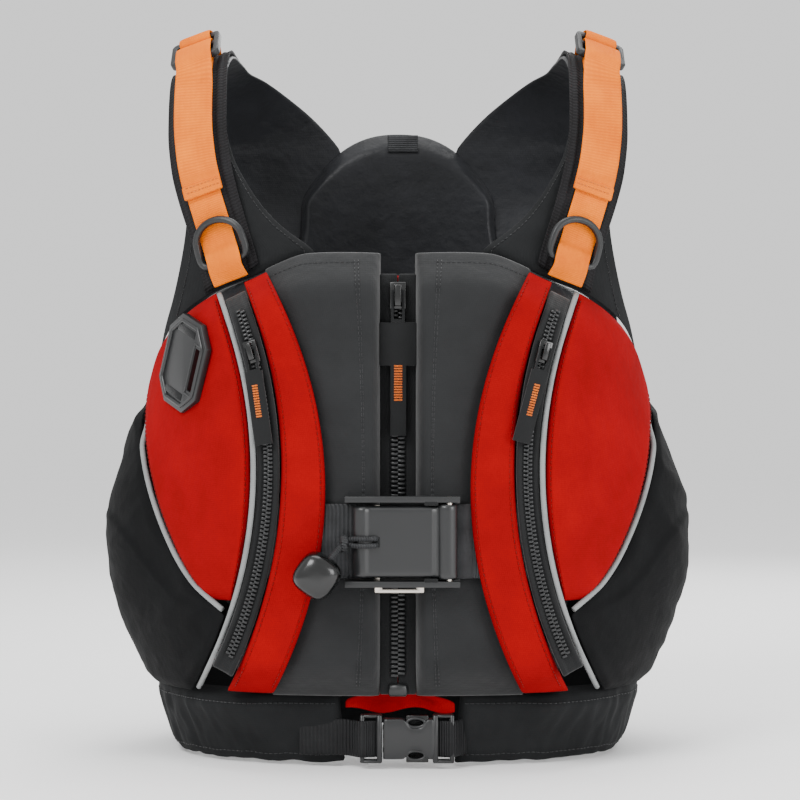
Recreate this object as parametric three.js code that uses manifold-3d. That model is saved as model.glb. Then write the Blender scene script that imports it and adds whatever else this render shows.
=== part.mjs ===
// A white-water rescue life jacket: foam panels in fabric covers, a front zip, two zipped chest pockets,
// padded shoulders with adjustable straps, a quick-release harness belt and a waist belt.
// Millimetres, +Z up, the front faces -Y, and the origin is at the middle of the base.
// "right" and "left" are the wearer's: right is -X and left is +X.
import * as THREE from "three";
import { mergeVertices } from "three/addons/utils/BufferGeometryUtils.js";
import Module from "manifold-3d";

const wasm = await Module();
wasm.setup();

// ---- Driving dimensions ----
const BODY_Y = 14.4; // the body's axis lies this far behind the origin, so that the origin is central
const HEM_DROP = 6; // heights are measured from this far above the lower edge of the waistband
const ROUNDNESS = 2.5; // exponent of the body's oval
const GAP = 0.3; // clearance between neighbouring pieces
const LOFT = 1.6; // clearance between the foam and its covers

const HEM_TOP = 40.4; // top of the waistband
const PANEL_BASE = 41; // lower edge of the panels
const NECK_Z = 339; // top of the front panels beside the zip
const ARMHOLE_Z = 244; // lowest point of the armhole, at the front
const BACK_TOP = 443; // top of the back pad
const BACK_DOME = 51; // height of the rounded part of the back pad
const BACK_NECK = 76; // half width of the back pad where its rounded part begins
const RIDGE_Z = 486; // the wearer's side of the shoulder, at RIDGE_X
const RIDGE_X = 103;
const SHOULDER_SLOPE = 0.42;

const FOAM_FRONT = 34; // full thickness of the padding
const FOAM_BACK = 28;
const LINING = 1.4;
const COVER = 1.6;
const SIDE_PAD = 2; // padding left at the sides, where the panels are only fabric
const SKIN = 4; // quilted fabric of the side panels
const VALLEY = 13; // half width of the gap between the front panels

const WEBBING = 24; // shoulder strap
const STRAP = 1.5;
const TAIL_WEBBING = 27.5;
const SHOULDER_WIDTH = 41;
const HARNESS_WEBBING = 50;
const HARNESS_Z = 146.5; // height of the harness belt's middle
const BELT = 2;

const ZIP_WIDTH = 20;
const ZIP_TOP = 325;
const CHAIN = 5.4; // half width of the zip's teeth
const ZIP_DEPTH = 14; // the zip lies this far out from the lining
const TAPE = 1.2;

const POCKET_ZIP_RADIUS = 295; // the pocket zips are arcs
const POCKET_ZIP_X = 86; // where the arc comes closest to the middle
const POCKET_ZIP_Z = 193;
const POCKET_ZIP_TURN = 14; // the arc's plane is turned this far round the body, in degrees
const POCKET_BAND = 17;
const POCKET_RISE = 8;

// Half width and depth of the wearer's body, by height.
const HALF_WIDTHS = [[-6, 150], [33, 162], [61, 175], [97, 189], [133, 195], [169, 195.5], [204, 186], [226, 178],
  [250, 171], [320, 163], [400, 156], [480, 150]];
const FRONT_DEPTHS = [[0, 108], [40, 114], [340, 114], [480, 110]];
const BACK_DEPTHS = [[0, 92], [60, 98], [150, 104], [240, 106], [330, 104], [430, 92]];

// ---- Materials ----
const paint = (color, roughness, metalness = 0) => new THREE.MeshStandardMaterial({ color, roughness, metalness });
const charcoal = paint(0x333435, 0.85);
const black = paint(0x1c1d1e, 0.9);
const lining = paint(0x242527, 0.6);
const red = paint(0xc40400, 0.8);
const orange = paint(0xff8a1c, 0.7);
const ribbed = paint(0x2b292b, 0.85);
const reflective = paint(0xa3a5a5, 0.45);
const foam = paint(0xd9d9d4, 0.95);
const plastic = paint(0x3a3b3c, 0.5);
const gloss = paint(0x2c2e2f, 0.25);
const steel = paint(0xc9c2b8, 0.3, 1);
const webbing = paint(0x3b3d3e, 0.8);

const jacket = new THREE.Group();

// ---- Small tools ----
const degrees = THREE.MathUtils.degToRad;
const ease = (t) => THREE.MathUtils.smoothstep(t, 0, 1);
const mix = THREE.MathUtils.lerp;
const constant = (value) => () => value;

// Value at z of the smooth curve through [z, value] knots.
function through(knots, z) {
  const last = knots.length - 1;
  if (z <= knots[0][0]) return knots[0][1];
  if (z >= knots[last][0]) return knots[last][1];
  const i = knots.findIndex(([height]) => height > z);
  const slope = (k) => {
    const [before, after] = [knots[Math.max(0, k - 1)], knots[Math.min(last, k + 1)]];
    return (after[1] - before[1]) / (after[0] - before[0]);
  };
  const [low, high] = [knots[i - 1], knots[i]];
  const span = high[0] - low[0];
  const t = (z - low[0]) / span;
  const bend = (slope(i - 1) * (1 - t) - slope(i) * t) * span;
  return mix(low[1], high[1], ease(t)) + t * (1 - t) * bend;
}

// The same shape as one closed surface that faces out.
function closed(geometry) {
  const bare = geometry.index ? geometry.clone() : mergeVertices(geometry.clone());
  bare.deleteAttribute("normal");
  bare.deleteAttribute("uv");
  const merged = mergeVertices(bare, 1e-3);
  const p = merged.attributes.position;
  const index = merged.index;
  const [a, b, c] = [new THREE.Vector3(), new THREE.Vector3(), new THREE.Vector3()];
  let volume = 0;
  for (let i = 0; i < index.count; i += 3) {
    a.fromBufferAttribute(p, index.getX(i));
    b.fromBufferAttribute(p, index.getX(i + 1));
    c.fromBufferAttribute(p, index.getX(i + 2));
    volume += a.dot(b.cross(c));
  }
  if (volume < 0) {
    for (let i = 0; i < index.count; i += 3) {
      const first = index.getX(i);
      index.setX(i, index.getX(i + 1));
      index.setX(i + 1, first);
    }
  }
  return merged;
}

function toManifold(geometry) {
  const g = closed(geometry);
  return new wasm.Manifold(
    new wasm.Mesh({
      numProp: 3,
      vertProperties: new Float32Array(g.attributes.position.array),
      triVerts: new Uint32Array(g.index.array),
    }),
  );
}

function fromManifold(solid) {
  const mesh = solid.getMesh();
  return new THREE.BufferGeometry()
    .setAttribute("position", new THREE.BufferAttribute(mesh.vertProperties, 3))
    .setIndex(new THREE.BufferAttribute(mesh.triVerts, 1));
}

const join = (...parts) => fromManifold(parts.map(toManifold).reduce((whole, part) => whole.add(part)));
const cut = (whole, ...holes) =>
  fromManifold(holes.map(toManifold).reduce((rest, hole) => rest.subtract(hole), toManifold(whole)));

const mirrored = (geometry, side) => (side > 0 ? geometry : closed(geometry.scale(-1, 1, 1)));

function add(name, geometry, material, parent = jacket) {
  const mesh = new THREE.Mesh(geometry, material);
  mesh.name = name;
  parent.add(mesh);
  return mesh;
}

// A block whose three directions are bent to follow place(u, v, t), each running from 0 to 1.
function bent(place, across, up, layers = 1) {
  const geometry = new THREE.BoxGeometry(1, 1, 1, across, up, layers);
  const p = geometry.attributes.position;
  for (let i = 0; i < p.count; i += 1) {
    const at = place(p.getX(i) + 0.5, p.getY(i) + 0.5, p.getZ(i) + 0.5);
    p.setXYZ(i, at.x, at.y, at.z);
  }
  return closed(geometry);
}

const box = (x, y, z, width, depth, height) => new THREE.BoxGeometry(width, depth, height).translate(x, y, z);
const rodZ = (x, y, z, radius, length, sides = 16) =>
  new THREE.CylinderGeometry(radius, radius, length, sides).rotateX(Math.PI / 2).translate(x, y, z);

// A round rod with closed ends that follows a curve.
function rope(points, radius, steps, sides = 8) {
  const curve = new THREE.CatmullRomCurve3(points);
  const frames = curve.computeFrenetFrames(steps, false);
  const geometry = new THREE.CylinderGeometry(radius, radius, steps, sides, steps);
  const p = geometry.attributes.position;
  for (let i = 0; i < p.count; i += 1) {
    const step = Math.round(p.getY(i) + steps / 2);
    const at = curve.getPointAt(step / steps);
    at.addScaledVector(frames.normals[step], p.getX(i)).addScaledVector(frames.binormals[step], p.getZ(i));
    p.setXYZ(i, at.x, at.y, at.z);
  }
  return closed(geometry);
}

// ---- The body's shape ----
const power = (value, exponent) => Math.sign(value) * Math.abs(value) ** exponent;

// A point of the oval at height z, an angle round from the front and a distance out from the lining.
function ring(angle, z, out) {
  const depth = Math.cos(angle) > 0 ? through(FRONT_DEPTHS, z) : through(BACK_DEPTHS, z);
  return new THREE.Vector3(
    (through(HALF_WIDTHS, z) + out) * power(Math.sin(angle), 2 / ROUNDNESS),
    BODY_Y - (depth + out) * power(Math.cos(angle), 2 / ROUNDNESS),
    z,
  );
}

// The front's upper edge, from the neck out to the armhole.
const TOP_EDGE = [[0, 339], [61, 339], [80, 333], [100, 324], [125, 315], [151, 299], [164, 282], [173, 256], [178, 240]];
const frontTop = (x) => through(TOP_EDGE, Math.abs(x));
const backTop = (x) => BACK_TOP - BACK_DOME * (Math.abs(x) / BACK_NECK) ** 2.4;

// How far the padding stands out: full in the middle of a panel, thin at its rim and at the sides.
function frontPad(x, z) {
  const side = 1 - ease((Math.abs(x) - 92) / 86);
  const rim = ease((frontTop(x) - z) / 30 + 0.1) * ease((z - PANEL_BASE) / 30 + 0.2);
  return SIDE_PAD + FOAM_FRONT * side * (0.45 + 0.55 * rim);
}
function backPad(x, z) {
  const side = 1 - ease((Math.abs(x) - 112) / 60);
  const rim = ease((BACK_TOP - z) / 60 + 0.1) * ease((z - PANEL_BASE) / 30 + 0.2);
  return SIDE_PAD + FOAM_BACK * side * (0.5 + 0.5 * rim);
}
const LAYERS_OUT = 6; // x is read off this far outside the padding
function frontAngle(x, z) {
  const reach = through(HALF_WIDTHS, z) + frontPad(x, z) + LAYERS_OUT;
  return Math.sign(x) * Math.asin(Math.min(1, Math.abs(x) / reach) ** (ROUNDNESS / 2));
}
function backAngle(x, z) {
  const reach = through(HALF_WIDTHS, z) + backPad(x, z) + LAYERS_OUT;
  return (x < 0 ? -1 : 1) * (Math.PI - Math.asin(Math.min(1, Math.abs(x) / reach) ** (ROUNDNESS / 2)));
}
// A point of the front or back at x. In the middle x is exact; towards the sides it follows the oval's angle.
function onTorso(x, z, out, rear) {
  const at = ring(rear ? backAngle(x, z) : frontAngle(x, z), z, out);
  const exact = 1 - ease((Math.abs(x) - 125) / 35);
  if (exact === 0) return at;
  const depth = (through(rear ? BACK_DEPTHS : FRONT_DEPTHS, z) + out) * (rear ? 1 : -1);
  const share = Math.abs(x) / (through(HALF_WIDTHS, z) + out);
  const y = BODY_Y + depth * (1 - Math.min(1, share) ** ROUNDNESS) ** (1 / ROUNDNESS);
  return new THREE.Vector3(mix(at.x, x, exact), mix(at.y, y, exact), z);
}
// The point an angle round the body, a distance out from the padding.
function aroundBody(angle, z, out) {
  const rear = Math.cos(angle) < 0;
  const pad = rear ? backPad : frontPad;
  let x = 0;
  for (let turn = 0; turn < 8; turn += 1) {
    x = (through(HALF_WIDTHS, z) + pad(x, z) + LAYERS_OUT) * Math.abs(power(Math.sin(angle), 2 / ROUNDNESS));
  }
  return onTorso(x * Math.sign(Math.sin(angle)), z, pad(x, z) + out, rear);
}

// A panel on one side of the front (side -1 is the wearer's right) or on the back. Its edges are given as
// x by height, its ends as heights by x, and its faces as distances out from the padding or the lining.
function panel({ side = 1, from, to, base, top, inner, outer, across, up, rear = false }) {
  const pad = rear ? backPad : frontPad;
  return bent(
    (u, v, t) => {
      let x = 0;
      let z = 0;
      for (let turn = 0; turn < 4; turn += 1) {
        z = mix(base(x), top(x), v);
        x = mix(from(z), to(z), u);
      }
      const out = mix(inner(x, z, pad(x, z)), outer(x, z, pad(x, z)), t);
      return onTorso(side * x, z, out, rear);
    },
    across,
    up,
  );
}
const fromLining = (distance) => () => distance;
const fromPad = (distance) => (x, z, pad) => pad + distance;

// A point over the shoulder: lean runs from 0 at the chest through 90 degrees on the ridge to 180 on the back.
const SHOULDER_FRONT_Z = 300;
const SHOULDER_BACK_Z = 330;
const ARCH = 3; // exponent of the shoulder's arch
const SHOULDER_ROUNDNESS = 5;
const SHOULDER_FRONT = 100; // the shoulder's depth before and behind the body's axis
const SHOULDER_BACK = 104;
const SHOULDER_BLEND = 400; // below this the shoulder takes on the body's oval
const ridge = (x) => RIDGE_Z - SHOULDER_SLOPE * (Math.abs(x) - RIDGE_X);
function shoulder(x, lean, out) {
  const front = lean < 90;
  const low = front ? SHOULDER_FRONT_Z : SHOULDER_BACK_Z;
  const depth = front ? SHOULDER_FRONT : SHOULDER_BACK;
  const reach = depth * (1 - Math.min(1, Math.abs(x) / 174) ** SHOULDER_ROUNDNESS) ** (1 / SHOULDER_ROUNDNESS);
  const cosine = power(Math.cos(degrees(lean)), 2 / ARCH);
  const sine = Math.sin(degrees(lean)) ** (2 / ARCH);
  const z = low + (ridge(x) + out - low) * sine;
  const arch = BODY_Y - (reach + out) * cosine;
  if (z > SHOULDER_BLEND) return new THREE.Vector3(x, arch, z);
  const oval = ring(front ? frontAngle(x, z) : backAngle(x, z), z, out).y;
  return new THREE.Vector3(x, mix(oval, arch, ease((z - low) / (SHOULDER_BLEND - low))), z);
}
// The lean at which the shoulder reaches height z.
function leanAt(x, z, rear = false) {
  const low = rear ? SHOULDER_BACK_Z : SHOULDER_FRONT_Z;
  const sine = THREE.MathUtils.clamp((z - low) / (ridge(x) - low), 0, 1) ** (ARCH / 2);
  const lean = THREE.MathUtils.radToDeg(Math.asin(sine));
  return rear ? 180 - lean : lean;
}
// The middle of the shoulder strap.
const STRAP_LINE = [[0, 113], [2.5, 116], [10, 126], [17, 133], [25, 138], [38, 141], [90, 141], [125, 134]];
const strapX = (lean) => through(STRAP_LINE, lean);

// The two edges of the shoulder strap at height z on the chest, or at a lean.
const strapEdges = (side, lean, width, out) =>
  [-0.5, 0.5].map((half) => shoulder(side * (strapX(lean) + half * width), lean, out));
const strapLean = (z) => leanAt(strapX(leanAt(130, z)), z);
const strapEdgesAt = (side, z, width, out) => {
  const slope = (strapX(strapLean(z + 5)) - strapX(strapLean(z - 5))) / 10;
  return [-0.5, 0.5].map((half) => {
    const x = strapX(strapLean(z)) + (half * width) / Math.hypot(1, slope);
    return shoulder(side * x, leanAt(x, z - half * width * slope), out);
  });
};

// Webbing of even thickness whose two edges run through the given pairs of points.
function band(pairs, thickness, up, across = 1) {
  const edges = [0, 1].map((i) => new THREE.CatmullRomCurve3(pairs.map((pair) => pair[i]), false, "centripetal"));
  return bent(
    (u, v, t) => {
      const [left, right] = edges.map((edge) => edge.getPoint(v));
      const along = edges[0].getTangent(v).add(edges[1].getTangent(v));
      const normal = right.clone().sub(left).cross(along).normalize();
      return left.lerp(right, u).addScaledVector(normal, (t - 0.5) * thickness);
    },
    across,
    up,
  );
}

// ---- Outlines that the pocket, its zip and the panels share ----
const arcX = (offset) => (z) => {
  const along = POCKET_ZIP_RADIUS - Math.sqrt((POCKET_ZIP_RADIUS + offset) ** 2 - (z - POCKET_ZIP_Z) ** 2);
  return POCKET_ZIP_X + along * Math.cos(degrees(POCKET_ZIP_TURN));
};
const stripEdge = arcX(POCKET_BAND / 2); // between the zip band and the pocket's inner strip
const pipingEdge = arcX(-POCKET_BAND / 2); // between the zip band and the pocket
const coverEdge = (z) => 49 + 36 * ((z - 180) / 138) ** 2;
const PIPING = 3.4;
const POCKET_FOOT = 98; // where the two pipings meet
// The pocket's outer edge, from its foot up to the armhole.
const pocketEdge = (z) => through([[98, 113], [117, 137], [150, 157], [191, 172], [229, 178], [250, 178]], z);
const pocketTop = (x) => frontTop(x) - 4;
// The side panel's front edge: the inner piping below the pocket's foot and the outer piping above it.
const sideEdge = (z) => (z < POCKET_FOOT ? pipingEdge(z) : pocketEdge(z)) + PIPING + 1.4;

const HALVES = [[-1, "right"], [1, "left"]];
const BELT_OUT = 1.3; // the harness belt lies this far out from the covers
const beltRoom = BELT_OUT + BELT + 1; // the pockets lie outside the belt
const underPocket = (z) => mix(beltRoom, 0.6, ease((Math.abs(z - HARNESS_Z) - 35) / 24));
const abovePad = (x, z, pad) => pad + underPocket(z);

// ---- Front panels ----
for (const [side, hand] of HALVES) {
  const foamEdge = (z) => Math.min(138, pocketEdge(Math.max(z, POCKET_FOOT)) - 4, z < POCKET_FOOT ? pipingEdge(z) : 200);
  add(
    `front_foam_${hand}`,
    panel({
      side,
      from: constant(VALLEY + COVER + GAP),
      to: foamEdge,
      base: constant(PANEL_BASE + 3),
      top: (x) => frontTop(x) - 6,
      inner: fromLining(LINING + LOFT),
      outer: fromPad(-COVER - LOFT),
      across: 7,
      up: 9,
    }),
    foam,
  );
  add(
    `front_lining_${hand}`,
    panel({
      side,
      from: constant(VALLEY),
      to: foamEdge,
      base: constant(PANEL_BASE),
      top: (x) => frontTop(x) - 2,
      inner: fromLining(0),
      outer: fromLining(LINING),
      across: 6,
      up: 5,
    }),
    lining,
  );
  // The cover's face and the flange that closes the panel beside the zip.
  const face = panel({
    side,
    from: constant(VALLEY),
    to: coverEdge,
    base: constant(PANEL_BASE),
    top: frontTop,
    inner: fromPad(-COVER),
    outer: fromPad(0),
    across: 5,
    up: 14,
  });
  const flange = panel({
    side,
    from: constant(VALLEY),
    to: constant(VALLEY + COVER),
    base: constant(PANEL_BASE),
    top: frontTop,
    inner: fromLining(LINING + GAP),
    outer: fromPad(-COVER / 2),
    across: 1,
    up: 9,
  });
  add(`front_cover_${hand}`, join(face, flange), charcoal);
}

// ---- Pockets ----
// A point in the plane of a pocket zip's arc: turn is the angle below the arc's widest point.
function arcPoint(side, turn, radius, out) {
  const slant = degrees(POCKET_ZIP_TURN);
  const along = POCKET_ZIP_RADIUS - radius * Math.cos(turn);
  const face = ring(frontAngle(POCKET_ZIP_X, POCKET_ZIP_Z), POCKET_ZIP_Z, FOAM_FRONT + SIDE_PAD + out);
  return new THREE.Vector3(
    side * (POCKET_ZIP_X + along * Math.cos(slant)),
    face.y + along * Math.sin(slant),
    POCKET_ZIP_Z - radius * Math.sin(turn),
  );
}
const ZIP_HIGH = -degrees(23.5); // the pocket zip's upper and lower ends
const ZIP_LOW = degrees(27);
const SLIDER_AT = -degrees(15.5);
const CHAIN_RISE = 1.6;
const ZIP_FACE = 6.2; // the zip band's face lies this far out from the covers
for (const [side, hand] of HALVES) {
  add(
    `pocket_${hand}`,
    panel({
      side,
      from: (z) => pipingEdge(z) + PIPING + GAP,
      to: (z) => Math.max(pocketEdge(z), pipingEdge(z) + PIPING + 3),
      base: constant(POCKET_FOOT + 11),
      top: pocketTop,
      inner: abovePad,
      outer: (x, z, pad) => pad + POCKET_RISE,
      across: 7,
      up: 8,
    }),
    red,
  );
  add(
    `pocket_strip_${hand}`,
    panel({
      side,
      from: (z) => coverEdge(z) + GAP,
      to: (z) => stripEdge(z) - GAP,
      base: constant(PANEL_BASE + 3),
      top: pocketTop,
      inner: abovePad,
      outer: fromPad(POCKET_RISE - 0.5),
      across: 3,
      up: 8,
    }),
    red,
  );
  // The zip's outer face is flat where the slider runs, and follows the panel above that.
  const zipBlock = (width, rise, depth) =>
    bent(
      (u, v, t) => {
        const at = arcPoint(side, mix(ZIP_LOW, ZIP_HIGH, v), POCKET_ZIP_RADIUS + (0.5 - u) * width, ZIP_FACE);
        const onPanel = (out) => onTorso(at.x, at.z, frontPad(at.x, at.z) + out, false).y;
        const back = onPanel(underPocket(at.z));
        const face = Math.min(mix(at.y, onPanel(ZIP_FACE), ease((at.z - 278) / 20)), back - 1);
        return at.setY(mix(depth === null ? back : face + depth, face - rise, t));
      },
      2,
      16,
    );
  add(
    `pocket_zip_${hand}`,
    join(
      zipBlock(POCKET_BAND - 6 * GAP, 0, null),
      zipBlock(8, CHAIN_RISE, 1.2),
    ),
    black,
  );
  // The reflective piping: a long cord beside the zip and a branch along the pocket's outer edge.
  const inside = panel({
    side,
    from: (z) => pipingEdge(z) + GAP,
    to: (z) => pipingEdge(z) + PIPING,
    base: constant(PANEL_BASE + 4),
    top: pocketTop,
    inner: abovePad,
    outer: fromPad(POCKET_RISE + 1),
    across: 1,
    up: 12,
  });
  const outside = panel({
    side,
    from: (z) => Math.max(pocketEdge(z) + GAP, pipingEdge(z) + PIPING - 1),
    to: (z) => pocketEdge(z) + PIPING,
    base: constant(POCKET_FOOT),
    top: constant(ARMHOLE_Z - 12),
    inner: abovePad,
    outer: fromPad(POCKET_RISE + 1),
    across: 1,
    up: 9,
  });
  add(`reflective_piping_${hand}`, join(inside, outside), reflective);
}

// ---- Sides and back ----
const backHalf = (z) => through([[40, 122], [120, 127], [200, 128], [260, 120], [320, 96], [360, 79], [400, BACK_NECK]], z);
const SIDE_TOP = 240;
for (const [side, hand] of HALVES) {
  add(
    `side_panel_${hand}`,
    bent(
      (u, v, t) => {
        const z = mix(PANEL_BASE, mix(SIDE_TOP, SIDE_TOP + 18, ease(u * 1.6 - 0.3)), v);
        const angle = mix(frontAngle(sideEdge(z), z), backAngle(backHalf(z) + 2, z), u);
        return aroundBody(side * angle, z, beltRoom + 0.2 + SKIN * t);
      },
      10,
      8,
    ),
    black,
  );
}
const backSheet = (inner, outer, shrink, across, up) =>
  panel({
    from: (z) => -backHalf(z) + 2 * shrink,
    to: (z) => backHalf(z) - 2 * shrink,
    base: constant(PANEL_BASE + shrink),
    top: (x) => backTop(x) - shrink,
    inner,
    outer,
    across,
    up,
    rear: true,
  });
add("back_foam", backSheet(fromLining(LINING + LOFT + 0.6), fromPad(-COVER - LOFT - 1.8), 3, 14, 12), foam);
add("back_lining", backSheet(fromLining(0), fromLining(LINING), 0, 14, 12), lining);
add("back_cover", backSheet(fromPad(-COVER), fromPad(0), 0, 14, 12), black);

// A point on the fabric that rises from the panels to the shoulder: it follows the body's oval low down
// and the shoulder higher up.
function rise(x, z, out, rear) {
  if (z > (rear ? SHOULDER_BACK_Z : SHOULDER_FRONT_Z)) {
    return new THREE.Vector3(x, shoulder(x, leanAt(x, z, rear), out).y, z);
  }
  return new THREE.Vector3(x, ring(rear ? backAngle(x, z) : frontAngle(x, z), z, out).y, z);
}
const NECK_RAIL = [[342, 57], [361, 82], [383, 100], [413, 115], [460, 122]]; // [height, x] of the front yoke's edges
const ARM_RAIL = [[240, 172], [288, 164], [310, 157], [337, 150], [359, 146], [379, 145], [400, 147], [422, 150],
  [460, 154]];
const YOKE = 3.5;
const YOKE_OUT = 4;
const YOKE_TOP = 455; // the yokes meet the shoulder here, front and back
for (const [side, hand] of HALVES) {
  add(
    `front_yoke_${hand}`,
    bent(
      (u, v, t) => {
        let x = mix(58, 168, u);
        let z = 0;
        for (let turn = 0; turn < 6; turn += 1) {
          z = mix(frontTop(x) + 0.6, YOKE_TOP, v);
          x = mix(v === 0 ? 57 : through(NECK_RAIL, z), v === 0 ? 168 : through(ARM_RAIL, z), u);
        }
        return rise(side * x, z, YOKE_OUT + YOKE * t, false);
      },
      8,
      12,
    ),
    black,
  );
}

// Back yoke: up from the side and the back pad, over the shoulder, to the front yoke.
for (const [side, hand] of HALVES) {
  const TURN = 0.5; // share of the length below the back pad's top
  const low = 254;
  const high = BACK_TOP - 15;
  const padEdge = (z) => BACK_NECK * ((BACK_TOP - z) / BACK_DOME) ** (1 / 2.4);
  add(
    `back_yoke_${hand}`,
    bent(
      (u, v, t) => {
        const out = YOKE_OUT + YOKE * t;
        if (v <= TURN) {
          const z = mix(low, high, v / TURN);
          const beside = z < BACK_TOP - BACK_DOME ? backHalf(z) : padEdge(z);
          const x = mix(beside + 1.2, through([[low, 170], [300, 163], [350, 157], [high, 154]], z), u);
          return rise(side * x, z, out, true);
        }
        const over = (v - TURN) / (1 - TURN);
        const neck = through([[0, padEdge(high) + 1.2], [0.1, 64], [0.2, 83], [0.32, 99], [0.45, 111], [1, 121]], over);
        const x = mix(neck, mix(154, 155, over), u);
        const lean = mix(leanAt(x, high - 3, true), leanAt(x, YOKE_TOP) + 1.5, over);
        return shoulder(side * x, lean, out);
      },
      8,
      20,
    ),
    black,
  );
}

// ---- Shoulders ----
const PAD_OUT = YOKE_OUT + YOKE + 0.9;
const PAD_THICK = 3;
const STRAP_OUT = PAD_OUT + PAD_THICK + 1.4;
const STRAP_MIDDLE = STRAP_OUT + STRAP / 2;
const TAIL_MIDDLE = STRAP_MIDDLE + STRAP + 0.8;
const TAIL_END = 373; // height of the tail's lower end
const D_RING_Z = 331; // height of the D-ring's bar
const D_RING_WIRE = 2.6;
const D_RING_HALF = 17.9;
const D_RING_SHIFT = 0.9; // the D-ring sits this far towards the neck, because the strap slants
const CHEST_TURN = 0.76; // the chest is turned here, so a distance out is longer than one square to it
const D_RING_OUT = PAD_OUT + PAD_THICK + (0.3 + D_RING_WIRE) / CHEST_TURN;
const LOCK_LEAN = 72;
const LOCK_OUT = 22;
const LOCK_TILT = 38;
const LOCK = { width: 36.6, length: 28, thickness: 4.8, slot: 28.6, bar: 4.4 };

// A frame whose x runs across the strap, whose y runs up it, and whose z faces out.
function strapFrame(side, lean, out, up) {
  const origin = shoulder(side * strapX(lean), lean, out);
  const across = shoulder(side * strapX(lean) + 1, lean, out).sub(shoulder(side * strapX(lean) - 1, lean, out));
  up.normalize();
  across.addScaledVector(up, -up.dot(across)).normalize();
  const facing = across.clone().cross(up);
  return new THREE.Matrix4().makeBasis(across, up, facing).setPosition(origin);
}

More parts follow.
